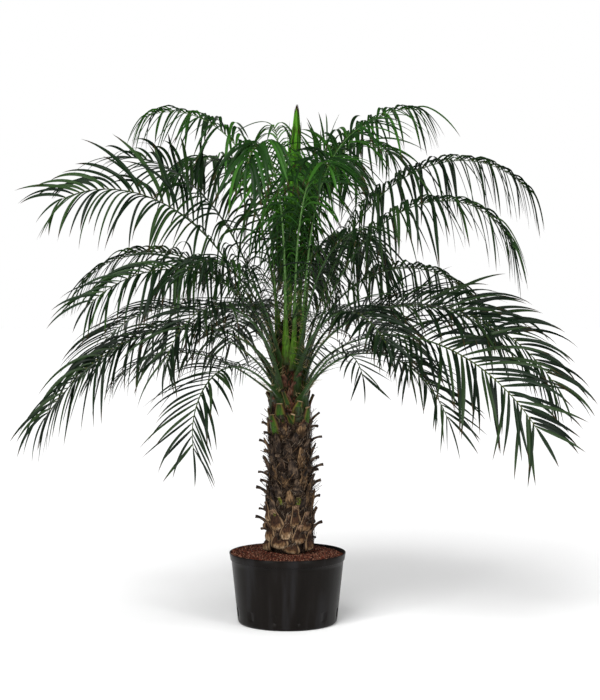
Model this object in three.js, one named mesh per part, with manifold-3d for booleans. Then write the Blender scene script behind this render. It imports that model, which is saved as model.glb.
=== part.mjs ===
// Pygmy date palm in a nursery pot: pot, clay fill, trunk with leaf stubs, spear leaf and fronds.
// Millimetres, +Z up, origin at the centre of the pot's flat underside. The viewer stands on the -Y side.
import * as THREE from 'three';
import { mergeVertices } from 'three/addons/utils/BufferGeometryUtils.js';
import Module from 'manifold-3d';

const wasm = await Module();
wasm.setup();

// Clearances and units
const CLEAR = 0.3;
const SEARCH = 1;
const MERGE = 1e-3;
const METRE = 1000;
const RANDOM_FACTOR = 1664525;
const RANDOM_SHIFT = 1013904223;
const RANDOM_SPAN = 2 ** 32;

// Pot
const POT_HEIGHT = 283;
const POT_RIM_RADIUS = 233;
const POT_FOOT_RADIUS = 200;
const POT_STEP_RADIUS = 225;
const POT_STEP_OUT = 4;
const POT_BAND = 30;
const POT_STEP = POT_HEIGHT - POT_BAND;
const POT_WALL = 4;
const POT_INNER_STEP = POT_STEP_RADIUS - POT_WALL;
const POT_FLOOR = 5;
const POT_CORNER = 14;
const POT_EDGE = 2;
const POT_SEGMENTS = 40;
const SLOT_COUNT = 12;
const SLOT_WIDTH = 16;
const SLOT_HEIGHT = 36;
const SLOT_FOOT = 30;
const SLOT_DEPTH = 2;

// Clay fill
const FILL_EDGE = 275;
const FILL_MOUND = 287;
const FILL_MOUND_RADIUS = 150;

// Trunk and crown shaft, as [height, radius] from the ground cut to the tip
const TRUNK_X = 10;
const TRUNK_SEGMENTS = 36;
const TRUNK_FOOT = FILL_MOUND + CLEAR;
const TRUNK_PROFILE = [
  [TRUNK_FOOT, 82], [300, 89], [330, 92], [380, 90], [560, 86], [740, 83], [820, 80],
  [880, 75], [960, 64], [1060, 55], [1160, 46], [1200, 34], [1220, 20],
];

// Cut leaf stubs on the trunk
const STUB_COUNT = 46;
const STUB_FOOT = 330;
const STUB_TOP = 835;
const STUB_SUNK = 12;
const STUB_LENGTH = 36;
const STUB_LENGTH_FOOT = 14;
const STUB_WIDTH = 50;
const STUB_END_WIDTH = 24;
const STUB_THICK = 24;
const STUB_END_THICK = 11;
const STUB_RISE = 42;
const STUB_SHORT_SHARE = 0.33;
const GOLDEN_ANGLE = 137.508;

// Spear leaf, still folded
const SPEAR_TIP = new THREE.Vector3(38, 0, 2068);
const SPEAR_WIDTH = 34;
const SPEAR_DEPTH = 24;
const SPEAR_SHARES = [[0, 1], [0.35, 0.95], [0.7, 0.65], [0.9, 0.3]];

// Ribs
const CROWN_TOP = 1170;
const CROWN_FOOT = 900;
const RIB_STEPS = 120;
const PETIOLE_YOUNG = 0.29;
const PETIOLE_OLD = 0.18;
const PETIOLE_RINGS = 4;
const RIB_WIDTHS = [20, 11, 4];
const RIB_DEPTHS = [16, 9, 4];
const SPLIT_BEND = 125;
const SPLIT_GAP = 0.3;

// Leaflets of the solids: fewer and wider than the plant's own
const LEAF_SPACING = 95;
const LEAF_LENGTH = 330;
const LEAF_CROWDING = 1.1;
const LEAF_SPREAD = [0.9, 1.05];
const LEAF_ROOT = 12;
const LEAF_WIDTH = 23;
const LEAF_THICK = 3.2;
const LEAF_STEPS = 10;
const LEAF_BELLY = 4;
const LEAF_FIRST = 0.4;
const LEAF_FULL_AT = 0.25;
const LEAF_FADE_AT = 0.55;
const LEAF_FADE = 0.3;
const LEAF_FADE_POWER = 1.6;
const VEE_BASE = 60;
const VEE_TIP = 25;
const VEE_OLD = 0.4;
const SWEEP_BASE = 30;
const SWEEP_RISE = 22;
const DROOP_BASE = 1.25;
const DROOP_TIP = 0.6;
const LEAF_LIFTS = [0, 12, -12, 24, -24, 36];
const LEAF_CUTS = [1, 0.8, 0.6];
const LEAF_SEED = 7;
const ROLL_FULL_AT = 0.5;
const SMALL_FROND_LEAF = 0.2;
const SMALL_FROND_GROWTH = 0.75;

// Fronds from the youngest to the oldest:
// azimuth, launch and bend in degrees, curl (power of the bend), length in metres, roll in degrees, droop
const FRONDS = [
  [352, 87, 14, 2.0, 0.74, 0, 0.5],
  [100, 87, 62, 2.2, 0.96, 0, 2.4],
  [46, 88, 118, 2.3, 1.10, 0, 1.8],
  [165, 89, 106, 2.4, 1.20, 0, 2.2],
  [18, 85, 90, 2.8, 1.15, 0, 2.2],
  [320, 84, 72, 3.4, 0.96, 0, 1.8],
  [254, 88, 142, 2.8, 1.08, 0, 2.0],
  [126, 78, 112, 2.2, 1.20, 0, 2.0],
  [70, 79, 112, 2.0, 1.22, 0, 2.0],
  [286, 87, 110, 2.4, 0.98, 0, 1.6],
  [160, 72, 69, 2.1, 1.08, -20, 1.3],
  [4, 74, 126, 2.1, 1.37, 0, 2.2],
  [182, 67, 93, 1.95, 1.17, -45, 1.5],
  [226, 71, 116, 1.9, 0.72, 0, 1.6],
  [304, 74, 74, 1.9, 0.72, 0, 1.6],
  [342, 69, 141, 2.25, 1.23, 0, 2.0],
  [64, 66, 121, 1.8, 1.10, 0, 1.8],
  [136, 71, 121, 1.5, 0.92, 0, 1.8],
  [172, 70, 118, 1.5, 1.02, -10, 1.6],
  [208, 88, 129, 0.88, 1.01, -25, 1.4],
  [22, 78, 140, 1.15, 1.09, 10, 2.0],
  [86, 66, 115, 1.4, 1.20, 0, 1.6],
  [298, 62, 104, 1.1, 0.80, 10, 1.0],
  [354, 88, 145, 0.63, 1.22, 45, 1.0],
  [336, 84, 116, 0.65, 0.94, 20, 0.8],
  [212, 82, 136, 0.56, 1.18, -10, 1.4],
  [233, 72, 140, 1.2, 0.90, 0, 1.0],
  [194, 60, 108, 1.0, 0.82, -10, 1.1],
  [152, 66, 120, 1.0, 1.06, 0, 1.0],
  [58, 62, 122, 1.0, 1.12, 0, 1.0],
  [329, 87, 141, 0.53, 1.19, 50, 0.85],
  [106, 64, 110, 1.0, 1.10, 0, 1.0],
  [190, 39, 85, 1.6, 0.67, 0, 1.4],
  [317, 55, 118, 1.0, 0.87, 0, 0.8],
  [240, 33, 138, 1.85, 0.84, 0, 0.7],
  [298, 38, 106, 3.1, 0.59, 0, 0.3],
];

// Finishes
const POT_FINISH = { color: 0x1d1c1b, roughness: 0.35, metalness: 0 };
const FILL_FINISH = { color: 0x8a4a32, roughness: 0.9, metalness: 0 };
const TRUNK_FINISH = { color: 0x5b4a38, roughness: 0.9, metalness: 0 };
const SPEAR_FINISH = { color: 0x6fa032, roughness: 0.5, metalness: 0 };
const FROND_FINISH = { color: 0x2f5a35, roughness: 0.5, metalness: 0 };

const DOWN = new THREE.Vector3(0, 0, -1);
const radians = THREE.MathUtils.degToRad;
const mix = THREE.MathUtils.lerp;

// Repeatable random numbers from 0 to 1
function makeRandom(seed) {
  let state = seed;
  return () => {
    state = (state * RANDOM_FACTOR + RANDOM_SHIFT) % RANDOM_SPAN;
    return state / RANDOM_SPAN;
  };
}

// Value at a place along a list of [place, value] pairs
function along(pairs, place) {
  let last = pairs[0];
  for (const pair of pairs) {
    if (place <= pair[0]) {
      const share = pair[0] > last[0] ? (place - last[0]) / (pair[0] - last[0]) : 0;
      return mix(last[1], pair[1], share);
    }
    last = pair;
  }
  return last[1];
}

// A solid from a three.js geometry, with shared corners merged and empty triangles left out
function solidOf(geometry) {
  geometry.deleteAttribute('normal');
  geometry.deleteAttribute('uv');
  const merged = mergeVertices(geometry, MERGE);
  const corners = merged.index.array;
  const kept = [];
  for (let i = 0; i < corners.length; i += 3) {
    const [a, b, c] = [corners[i], corners[i + 1], corners[i + 2]];
    if (a !== b && b !== c && c !== a) kept.push(a, b, c);
  }
  return new wasm.Manifold(new wasm.Mesh({
    numProp: 3,
    vertProperties: merged.attributes.position.array,
    triVerts: Uint32Array.from(kept),
  }));
}

// A closed shell that is filled point by point
function makeShell() {
  return { points: [], triangles: [] };
}

function addLoop(shell, points) {
  const first = shell.points.length;
  shell.points.push(...points);
  return points.map((point, i) => first + i);
}

function addFace(shell, loop) {
  for (let i = 1; i < loop.length - 1; i += 1) shell.triangles.push(loop[0], loop[i], loop[i + 1]);
}

// Walls from one loop of corners to the next
function addWalls(shell, lower, upper, skipped = []) {
  lower.forEach((corner, i) => {
    const next = (i + 1) % lower.length;
    if (!skipped.includes(i)) addFace(shell, [corner, lower[next], upper[next], upper[i]]);
  });
}

// Walls from a loop of corners to one point
function addPoint(shell, loop, point) {
  const [tip] = addLoop(shell, [point]);
  loop.forEach((corner, i) => addFace(shell, [corner, loop[(i + 1) % loop.length], tip]));
}

function shellSolid(shell) {
  const numbers = shell.points.flatMap((point) => [point.x, point.y, point.z]);
  return new wasm.Manifold(new wasm.Mesh({
    numProp: 3,
    vertProperties: Float32Array.from(numbers),
    triVerts: Uint32Array.from(shell.triangles),
  }));
}

// Four corners round a centre, counterclockwise as seen from the end of the path
function section(centre, side, up, width, depth) {
  const half = side.clone().multiplyScalar(width / 2);
  const rise = up.clone().multiplyScalar(depth / 2);
  return [[1, 1], [-1, 1], [-1, -1], [1, -1]].map(([s, n]) => (
    centre.clone().addScaledVector(half, s).addScaledVector(rise, n)
  ));
}

// A solid turned round the Z axis from [radius, height] pairs that start and end on the axis
function turned(profile, segments) {
  const points = profile.map(([radius, height]) => new THREE.Vector2(radius, height));
  const geometry = new THREE.LatheGeometry(points, segments);
  geometry.rotateX(Math.PI / 2);
  return solidOf(geometry);
}

// Pot: a tapered tub with a stepped rim band and shallow slots round its foot
function makePot() {
  const outer = [
    [0, 0], [POT_FOOT_RADIUS - POT_CORNER, 0], [POT_FOOT_RADIUS - POT_WALL, POT_WALL],
    [POT_FOOT_RADIUS, POT_CORNER], [POT_STEP_RADIUS, POT_STEP],
    [POT_STEP_RADIUS + POT_STEP_OUT, POT_STEP + POT_EDGE],
    [POT_RIM_RADIUS, POT_HEIGHT - POT_EDGE], [POT_RIM_RADIUS - POT_EDGE / 2, POT_HEIGHT],
  ];
  const inner = [
    [POT_RIM_RADIUS - POT_WALL, POT_HEIGHT], [POT_INNER_STEP, POT_STEP],
    [POT_FOOT_RADIUS - POT_WALL, POT_CORNER], [POT_FOOT_RADIUS - POT_CORNER, POT_FLOOR], [0, POT_FLOOR],
  ];
  let pot = turned([...outer, ...inner], POT_SEGMENTS);
  for (let i = 0; i < SLOT_COUNT; i += 1) pot = pot.subtract(slotCutter(((i + 0.5) / SLOT_COUNT) * 360));
  return pot;
}

function potWallRadius(height) {
  const share = (height - POT_CORNER) / (POT_STEP - POT_CORNER);
  return mix(POT_FOOT_RADIUS, POT_STEP_RADIUS, share);
}

function slotCutter(azimuth) {
  const middle = SLOT_FOOT + SLOT_HEIGHT / 2;
  const reach = potWallRadius(middle) - SLOT_DEPTH + SLOT_WIDTH / 2;
  const box = new THREE.BoxGeometry(SLOT_WIDTH, SLOT_WIDTH, SLOT_HEIGHT);
  box.translate(reach, 0, middle);
  box.rotateZ(radians(azimuth));
  return solidOf(box);
}

// Clay fill: all the space in the pot, mounded under the trunk
function makeFill() {
  const edge = mix(POT_INNER_STEP, POT_RIM_RADIUS - POT_WALL, (FILL_EDGE - POT_STEP) / POT_BAND);
  return turned([
    [0, POT_FLOOR + CLEAR], [POT_FOOT_RADIUS - POT_CORNER - CLEAR, POT_FLOOR + CLEAR],
    [POT_FOOT_RADIUS - POT_WALL - CLEAR, POT_CORNER], [POT_INNER_STEP - CLEAR, POT_STEP],
    [edge - CLEAR, FILL_EDGE], [FILL_MOUND_RADIUS, FILL_MOUND], [0, FILL_MOUND],
  ], POT_SEGMENTS);
}

// Trunk: a foot that rounds in, the taper and the crown shaft in one, with a spiral of cut leaf stubs
function makeTrunk() {
  const wall = TRUNK_PROFILE.map(([height, radius]) => [radius, height]);
  const top = TRUNK_PROFILE[TRUNK_PROFILE.length - 1][0];
  let trunk = turned([[0, TRUNK_FOOT], ...wall, [0, top]], TRUNK_SEGMENTS);
  for (let i = 0; i < STUB_COUNT; i += 1) trunk = trunk.add(makeStub(i));
  return trunk.translate([TRUNK_X, 0, 0]);
}

function makeStub(index) {
  const share = index / (STUB_COUNT - 1);
  const height = mix(STUB_FOOT, STUB_TOP, share);
  const azimuth = radians(index * GOLDEN_ANGLE);
  const rise = radians(STUB_RISE);
  const outward = new THREE.Vector3(Math.cos(azimuth), Math.sin(azimuth), 0);
  const side = new THREE.Vector3(-outward.y, outward.x, 0);
  const path = outward.clone().multiplyScalar(Math.cos(rise)).addScaledVector(DOWN, -Math.sin(rise));
  const up = new THREE.Vector3().crossVectors(path, side);
  const root = outward.clone().multiplyScalar(along(TRUNK_PROFILE, height));
  root.z = height;
  const reach = mix(STUB_LENGTH_FOOT, STUB_LENGTH, Math.min(1, share / STUB_SHORT_SHARE));
  const shell = makeShell();
  const lower = addLoop(shell, section(
    root.clone().addScaledVector(path, -STUB_SUNK), side, up, STUB_WIDTH, STUB_THICK,
  ));
  const upper = addLoop(shell, section(
    root.clone().addScaledVector(path, reach), side, up, STUB_END_WIDTH, STUB_END_THICK,
  ));
  addFace(shell, [...lower].reverse());
  addWalls(shell, lower, upper);
  addFace(shell, upper);
  return shellSolid(shell);
}

// Spear leaf: the folded youngest leaf, standing on the tip of the crown shaft
function makeSpear() {
  const foot = new THREE.Vector3(TRUNK_X, 0, TRUNK_PROFILE[TRUNK_PROFILE.length - 1][0] + CLEAR);
  const side = new THREE.Vector3(1, 0, 0);
  const up = new THREE.Vector3(0, 1, 0);
  const shell = makeShell();
  let lower = null;
  for (const [share, size] of SPEAR_SHARES) {
    const centre = foot.clone().lerp(SPEAR_TIP, share);
    const loop = addLoop(shell, section(centre, side, up, SPEAR_WIDTH * size, SPEAR_DEPTH * size));
    if (lower) addWalls(shell, lower, loop);
    else addFace(shell, [...loop].reverse());
    lower = loop;
  }
  addPoint(shell, lower, SPEAR_TIP.clone());
  return shellSolid(shell);
}

// Rib of a frond: it leaves the shaft at the launch angle and bends down on its way out
function makeRib(row, rank) {
  const [azimuth, launch, bend, curl, metres, roll, droop] = row;
  const age = rank / (FRONDS.length - 1);
  const base = mix(CROWN_TOP, CROWN_FOOT, age);
  const turn = radians(azimuth);
  const outward = new THREE.Vector3(Math.cos(turn), Math.sin(turn), 0);
  const length = metres * METRE;
  const half = RIB_DEPTHS[0] / 2;
  const corner = base + half * Math.cos(radians(launch));
  const seat = along(TRUNK_PROFILE, corner) + CLEAR + half * Math.sin(radians(launch));
  const point = outward.clone().multiplyScalar(seat);
  point.x += TRUNK_X;
  point.z = base;
  const points = [point.clone()];
  const slopes = [radians(launch)];
  for (let i = 1; i <= RIB_STEPS; i += 1) {
    const middle = radians(launch - bend * ((i - 0.5) / RIB_STEPS) ** curl);
    point.addScaledVector(outward, Math.cos(middle) * length / RIB_STEPS);
    point.addScaledVector(DOWN, -Math.sin(middle) * length / RIB_STEPS);
    points.push(point.clone());
    slopes.push(radians(launch - bend * (i / RIB_STEPS) ** curl));
  }
  const top = (launch / bend) ** (1 / curl);
  const petiole = mix(PETIOLE_YOUNG, PETIOLE_OLD, age);
  return { outward, age, length, petiole, bend, roll: radians(roll), droop, points, slopes, top };
}

// Place on a rib: its point, the way along it, its side and its upper face, turned by the roll
function ribAt(rib, share) {
  const place = Math.min(share, 1) * RIB_STEPS;
  const index = Math.min(Math.floor(place), RIB_STEPS - 1);
  const point = rib.points[index].clone().lerp(rib.points[index + 1], place - index);
  const slope = mix(rib.slopes[index], rib.slopes[index + 1], place - index);
  const path = rib.outward.clone().multiplyScalar(Math.cos(slope)).addScaledVector(DOWN, -Math.sin(slope));
  const side = new THREE.Vector3(-rib.outward.y, rib.outward.x, 0);
  side.applyAxisAngle(path, rib.roll * THREE.MathUtils.clamp(leafShare(rib, share) / ROLL_FULL_AT, 0, 1));
  const up = new THREE.Vector3().crossVectors(path, side);
  return { point, path, side, up };
}

// Share of the leafy part of a rib, from 0 at its first leaflet to 1 at its tip
function leafShare(rib, share) {
  return (share - rib.petiole) / (1 - rib.petiole);
}

function ribSize(rib, sizes, share) {
  return along([[0, sizes[0]], [rib.petiole, sizes[1]], [1, sizes[2]]], share);
}

function ribSection(rib, share) {
  const { point, side, up } = ribAt(rib, share);
  return section(point, side, up, ribSize(rib, RIB_WIDTHS, share), ribSize(rib, RIB_DEPTHS, share));
}

// Length of a leaflet: short at the foot of the leafy part and at its tip, and shorter on a small frond
function leafLength(rib, leafy) {
  const growth = Math.min(1, SMALL_FROND_LEAF + SMALL_FROND_GROWTH * rib.length / METRE);
  const rise = Math.min(1, LEAF_FIRST + (1 - LEAF_FIRST) * leafy / LEAF_FULL_AT);
  const fade = Math.max(0, (leafy - LEAF_FADE_AT) / (1 - LEAF_FADE_AT));
  return LEAF_LENGTH * growth * rise * (1 - LEAF_FADE * fade ** LEAF_FADE_POWER);
}

// Places of the leaflet pairs along a rib
function leafStations(rib) {
  const count = Math.round(rib.length * (1 - rib.petiole) / LEAF_SPACING);
  return [...Array(count).keys()].map((i) => mix(rib.petiole, 1, ((i + 0.5) / count) ** LEAF_CROWDING));
}

// Middle section and tip of a leaflet that starts on one side of a rib and hangs by the frond's droop.
// The hand is 1 or -1 for a side, or 0 for the leaflet that goes on from the rib's tip.
function leafShape(rib, share, hand, lift, length) {
  const { point, path, side, up } = ribAt(rib, share);
  const leafy = leafShare(rib, share);
  const vee = radians(mix(VEE_BASE, VEE_TIP, leafy) * mix(1, VEE_OLD, rib.age) + lift);
  const sweep = hand === 0 ? Math.PI / 2 : radians(SWEEP_BASE + SWEEP_RISE * leafy);
  const way = side.clone().multiplyScalar(hand * Math.cos(vee) * Math.cos(sweep));
  way.addScaledVector(up, Math.sin(vee) * Math.cos(sweep)).addScaledVector(path, Math.sin(sweep));
  const place = point.clone().addScaledVector(side, hand * ribSize(rib, RIB_WIDTHS, share) / 2);
  const droop = rib.droop * mix(DROOP_BASE, DROOP_TIP, leafy);
  let belly = null;
  for (let i = 1; i <= LEAF_STEPS; i += 1) {
    const pull = DOWN.clone().addScaledVector(way, -way.dot(DOWN));
    way.addScaledVector(pull, droop / LEAF_STEPS).normalize();
    place.addScaledVector(way, length / LEAF_STEPS);
    if (i === LEAF_BELLY) belly = leafBelly(place, way, path, side, hand);
  }
  return { belly, tip: place };
}

// Corners of a leaflet's widest section, in the order of the wall of the rib that it grows from
function leafBelly(place, way, path, side, hand) {
  if (hand === 0) {
    const up = new THREE.Vector3().crossVectors(way, side).normalize();
    return section(place, side, up, LEAF_WIDTH, LEAF_THICK);
  }
  const wide = path.clone().addScaledVector(way, -way.dot(path)).normalize();
  const thick = new THREE.Vector3().crossVectors(wide, way).multiplyScalar(hand);
  const order = hand > 0 ? [[-1, -1], [-1, 1], [1, 1], [1, -1]] : [[-1, 1], [-1, -1], [1, -1], [1, 1]];
  return order.map(([w, t]) => (
    place.clone().addScaledVector(wide, w * LEAF_WIDTH / 2).addScaledVector(thick, t * LEAF_THICK / 2)
  ));
}

// Wall of the rib that a leaflet grows from, between the sections before and after it
function leafRoot(before, after, hand) {
  if (hand === 0) return after;
  return hand > 0 ? [before[3], before[0], after[0], after[3]] : [before[1], before[2], after[2], after[1]];
}

function leafEnds(rib, share) {
  const half = LEAF_ROOT / 2 / rib.length;
  return [share - half, share + half];
}

function leafSolid(rib, share, hand, leaf) {
  const [first, last] = leafEnds(rib, share);
  const shell = makeShell();
  const root = addLoop(shell, leafRoot(ribSection(rib, first), ribSection(rib, last), hand));
  const belly = addLoop(shell, leaf.belly);
  addFace(shell, [...root].reverse());
  addWalls(shell, root, belly);
  addPoint(shell, belly, leaf.tip);
  return shellSolid(shell);
}

// Something that leaflets keep clear of
function obstacle(solid, owner) {
  return { solid, owner, box: solid.boundingBox() };
}

function boxesMeet(a, b) {
  return [0, 1, 2].every((i) => a.min[i] - CLEAR < b.max[i] && b.min[i] - CLEAR < a.max[i]);
}

function isClear(solid, owner, obstacles) {
  const box = solid.boundingBox();
  return obstacles.every((other) => (
    other.owner === owner || !boxesMeet(box, other.box) || solid.minGap(other.solid, SEARCH) >= CLEAR
  ));
}

// The first shape of a leaflet that touches nothing: lifted or lowered, then shortened, or none
function findLeaf(rib, share, hand, obstacles, random) {
  const length = leafLength(rib, leafShare(rib, share)) * mix(...LEAF_SPREAD, random());
  for (const cut of LEAF_CUTS) {
    for (const lift of LEAF_LIFTS) {
      const leaf = leafShape(rib, share, hand, lift, length * cut);
      const solid = leafSolid(rib, share, hand, leaf);
      if (isClear(solid, rib, obstacles)) {
        obstacles.push(obstacle(solid, null));
        return leaf;
      }
    }
  }
  return null;
}

// All the leaflets of a rib, by station and hand
function findLeaves(rib, obstacles, random) {
  const leaves = leafStations(rib).map((share) => ({
    share,
    left: findLeaf(rib, share, 1, obstacles, random),
    right: findLeaf(rib, share, -1, obstacles, random),
  }));
  return { leaves, end: findLeaf(rib, 1, 0, obstacles, random) };
}

function bareFoliage(rib) {
  return { leaves: leafStations(rib).map((share) => ({ share })) };
}

// A length of a rib with its leaflets, as one closed blade
function makeBlade(rib, from, to, foliage) {
  const shell = makeShell();
  const rings = [{ share: from }];
  for (let i = 1; i < PETIOLE_RINGS; i += 1) rings.push({ share: rib.petiole * i / PETIOLE_RINGS });
  for (const leaf of foliage.leaves) {
    const [first, last] = leafEnds(rib, leaf.share);
    rings.push({ share: first, leaf }, { share: last });
  }
  rings.push({ share: to });
  const kept = rings.filter(({ share }, i) => (share > from && share < to) || i === 0 || share === to);
  const loops = kept.map(({ share }) => addLoop(shell, ribSection(rib, share)));
  addFace(shell, [...loops[0]].reverse());
  for (let i = 0; i < loops.length - 1; i += 1) addRibLength(shell, loops[i], loops[i + 1], kept[i].leaf);
  const tip = loops[loops.length - 1];
  if (to === 1 && foliage.end) addLeaf(shell, tip, foliage.end);
  else addFace(shell, tip);
  return shellSolid(shell);
}

function addRibLength(shell, before, after, leaf) {
  const hands = leaf ? [[leaf.left, 1, 3], [leaf.right, -1, 1]] : [];
  const grown = hands.filter(([shape]) => shape);
  addWalls(shell, before, after, grown.map(([, , wall]) => wall));
  for (const [shape, hand] of grown) addLeaf(shell, leafRoot(before, after, hand), shape);
}

function addLeaf(shell, root, leaf) {
  const belly = addLoop(shell, leaf.belly);
  addWalls(shell, root, belly);
  addPoint(shell, belly, leaf.tip);
}

// Place of the cut in a frond that arches over: halfway between two pairs of leaflets, at the top of the arch
function splitShare(rib) {
  const stations = leafStations(rib);
  const gaps = stations.slice(1).map((share, i) => (share + stations[i]) / 2);
  return gaps.reduce((best, gap) => (Math.abs(gap - rib.top) < Math.abs(best - rib.top) ? gap : best));
}

function makeFrond(name, rib, foliage) {
  if (rib.bend < SPLIT_BEND) return [[name, makeBlade(rib, 0, 1, foliage)]];
  const cut = splitShare(rib);
  const half = SPLIT_GAP / 2 / rib.length;
  return [
    [`${name}_base`, makeBlade(rib, 0, cut - half, foliage)],
    [`${name}_tip`, makeBlade(rib, cut + half, 1, foliage)],
  ];
}

function makeFronds(obstacles) {
  const random = makeRandom(LEAF_SEED);
  const ribs = FRONDS.map(makeRib);
  for (const rib of ribs) obstacles.push(obstacle(makeBlade(rib, 0, 1, bareFoliage(rib)), rib));
  return ribs.flatMap((rib, i) => {
    const name = `frond_${String(i + 1).padStart(2, '0')}`;
    return makeFrond(name, rib, findLeaves(rib, obstacles, random));
  });
}

function addMesh(group, name, solid, finish) {
  const { vertProperties, triVerts } = solid.getMesh();
  const geometry = new THREE.BufferGeometry();
  geometry.setAttribute('position', new THREE.BufferAttribute(vertProperties, 3));
  geometry.setIndex(new THREE.BufferAttribute(triVerts, 1));
  geometry.computeVertexNormals();
  const mesh = new THREE.Mesh(geometry, new THREE.MeshStandardMaterial(finish));
  mesh.name = name;
  group.add(mesh);
}

function makePalm() {
  const palm = new THREE.Group();
  const pot = makePot();
  const fill = makeFill();
  const trunk = makeTrunk();
  const spear = makeSpear();
  addMesh(palm, 'pot', pot, POT_FINISH);
  addMesh(palm, 'clay_fill', fill, FILL_FINISH);
  addMesh(palm, 'trunk', trunk, TRUNK_FINISH);
  addMesh(palm, 'spear_leaf', spear, SPEAR_FINISH);
  const obstacles = [trunk, spear].map((solid) => obstacle(solid, null));
  for (const [name, solid] of makeFronds(obstacles)) addMesh(palm, name, solid, FROND_FINISH);
  return palm;
}

export default makePalm();
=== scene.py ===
# Pygmy date palm in a nursery pot, dressed over its solids with fine leaflets, spines, leaf bases, fibre and
# granules. Metres, +Z up, origin at the centre of the pot's flat underside. The viewer stands on the -Y side.
import math
import bpy
import numpy as np
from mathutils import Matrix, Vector


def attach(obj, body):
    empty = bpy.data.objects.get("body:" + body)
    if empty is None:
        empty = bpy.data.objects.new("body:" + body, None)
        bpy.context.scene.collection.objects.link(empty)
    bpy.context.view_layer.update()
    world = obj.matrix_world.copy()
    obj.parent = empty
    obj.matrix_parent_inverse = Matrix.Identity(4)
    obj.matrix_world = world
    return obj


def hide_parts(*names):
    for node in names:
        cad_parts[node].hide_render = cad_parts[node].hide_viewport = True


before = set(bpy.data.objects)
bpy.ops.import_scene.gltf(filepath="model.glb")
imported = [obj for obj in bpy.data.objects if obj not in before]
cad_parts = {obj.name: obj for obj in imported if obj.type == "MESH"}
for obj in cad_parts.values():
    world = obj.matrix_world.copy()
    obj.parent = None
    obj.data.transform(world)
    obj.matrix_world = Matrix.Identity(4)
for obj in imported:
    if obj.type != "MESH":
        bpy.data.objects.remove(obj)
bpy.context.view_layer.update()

# Units and directions
MM = 0.001
UP = np.array([0.0, 0.0, 1.0])
DOWN = -UP
GOLDEN_ANGLE = math.radians(137.508)

# Pot
POT_HEIGHT = 283 * MM
POT_RIM_RADIUS = 233 * MM
POT_FOOT_RADIUS = 200 * MM
POT_STEP_RADIUS = 225 * MM
POT_STEP_OUT = 4 * MM
POT_BAND = 30 * MM
POT_STEP = POT_HEIGHT - POT_BAND
POT_WALL = 4 * MM
POT_CORNER = 14 * MM
POT_INSIDE = 190 * MM
POT_FOOT_RING = 150 * MM
POT_FOOT_SLOPE = 8 * MM
POT_FOOT_RISE = 3 * MM
POT_WALL_ROWS = 14
POT_CORNER_ROWS = 6
SLOT_COUNT = 12
SLOT_WIDTH = 16 * MM
SLOT_HEIGHT = 36 * MM
SLOT_FOOT = 30 * MM
SLOT_DEPTH = 2 * MM
SLOT_EDGE = 1.5 * MM
SECTOR_COLUMNS = 8

# Rounded edges of the pot, as [outwards, upwards] in millimetres from the foot of its band and from its rim
POT_BAND_EDGE = [[-2, 0.2], [-0.6, 0.7], [0, 2]]
POT_RIM_EDGE = [[0, -2], [-0.6, -0.6], [-2, 0], [-3, 0], [-4, -1]]

# Clay granules, heaped a little to one side
FILL_EDGE = 275 * MM
FILL_MOUND = 287 * MM
FILL_RADIUS = 225 * MM
FILL_INNER_RADIUS = 20 * MM
FILL_MOUND_RADIUS = 150 * MM
FILL_RINGS = 30
FILL_COLUMNS = 96
FILL_ROUGH = 3 * MM
FILL_SUNK = 4 * MM
FILL_HEAP = 8 * MM
FILL_HEAP_WAY = math.radians(150)
GRANULE_SIZE = 9 * MM
GRANULE_SPREAD = (0.4, 0.4, 0.4)
GRANULE_SPACING = 9 * MM
GRANULE_DENSITY = 60000
GRANULE_SEEDS = [3, 11, 23, 41]

# Deep and pale colour of the bed under the granules, kept dark as painted shade in the gaps between them,
# and of each kind of granule
BED_PAINTED_SHADE = ("#120906", "#2a150e")
CLAYS = {
    "dark": ("#160907", "#2c130d"),
    "red": ("#462015", "#653022"),
    "brown": ("#301811", "#4a281a"),
    "pale": ("#583628", "#8a6552"),
}

# A granule one unit across: corners round it, levels of its rings, its two ends, and how far its corners vary
PEBBLE_RADIUS = 0.5
PEBBLE_AROUND = 6
PEBBLE_LEVELS = [-0.3, 0.05, 0.34]
PEBBLE_FOOT = -0.46
PEBBLE_TIP = 0.48
PEBBLE_ROUGH = [0.85, 1.15]

# Trunk and crown shaft, as [height, radius] from the granules to the tip
TRUNK_X = 10 * MM
TRUNK_FOOT = 287.3 * MM
TRUNK_PROFILE = [
    [TRUNK_FOOT, 0.082], [0.300, 0.089], [0.330, 0.092], [0.380, 0.090], [0.560, 0.086], [0.740, 0.083],
    [0.820, 0.080], [0.880, 0.075], [0.960, 0.064], [1.060, 0.055], [1.160, 0.046], [1.200, 0.034],
    [1.220, 0.020],
]

# Matted core, set in from the profile by height, with waves by their count round it and their turn up it, in
# radians to a metre
CORE_INSET = 9 * MM
CORE_INSETS = [[0, CORE_INSET], [0.85, CORE_INSET], [0.95, 2 * MM], [1.3, 2 * MM]]
CORE_TIP = 4 * MM
CORE_ROWS = 220
CORE_COLUMNS = 120
CORE_WAVES = 40
CORE_WAVE_COUNTS = [3, 40]
CORE_WAVE_RISE = 160
CORE_RELIEF = 2.6 * MM

# Threads of the core: girth and height that its map covers in metres, their turn in radians, and threads to a
# metre across and along
MAT_SIZE = (0.55, 0.94, 1)
MAT_TURN = 0.8
MAT_THREADS = (250, 30, 1)

# Leaf bases on one spiral round the trunk, with the spread of their turns in radians and of their sizes
BASE_FOOT = 0.306
BASE_TOP = 1.000
BASE_STEP = 5.6 * MM
BASE_AROUND = 10
BASE_WRAP = 90 * MM
BASE_TURNS = (0.26, 0.34, 0.2)
BASE_SIZES = (0.2, 0.3, 0.2)
BASE_SEED = 5

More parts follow.
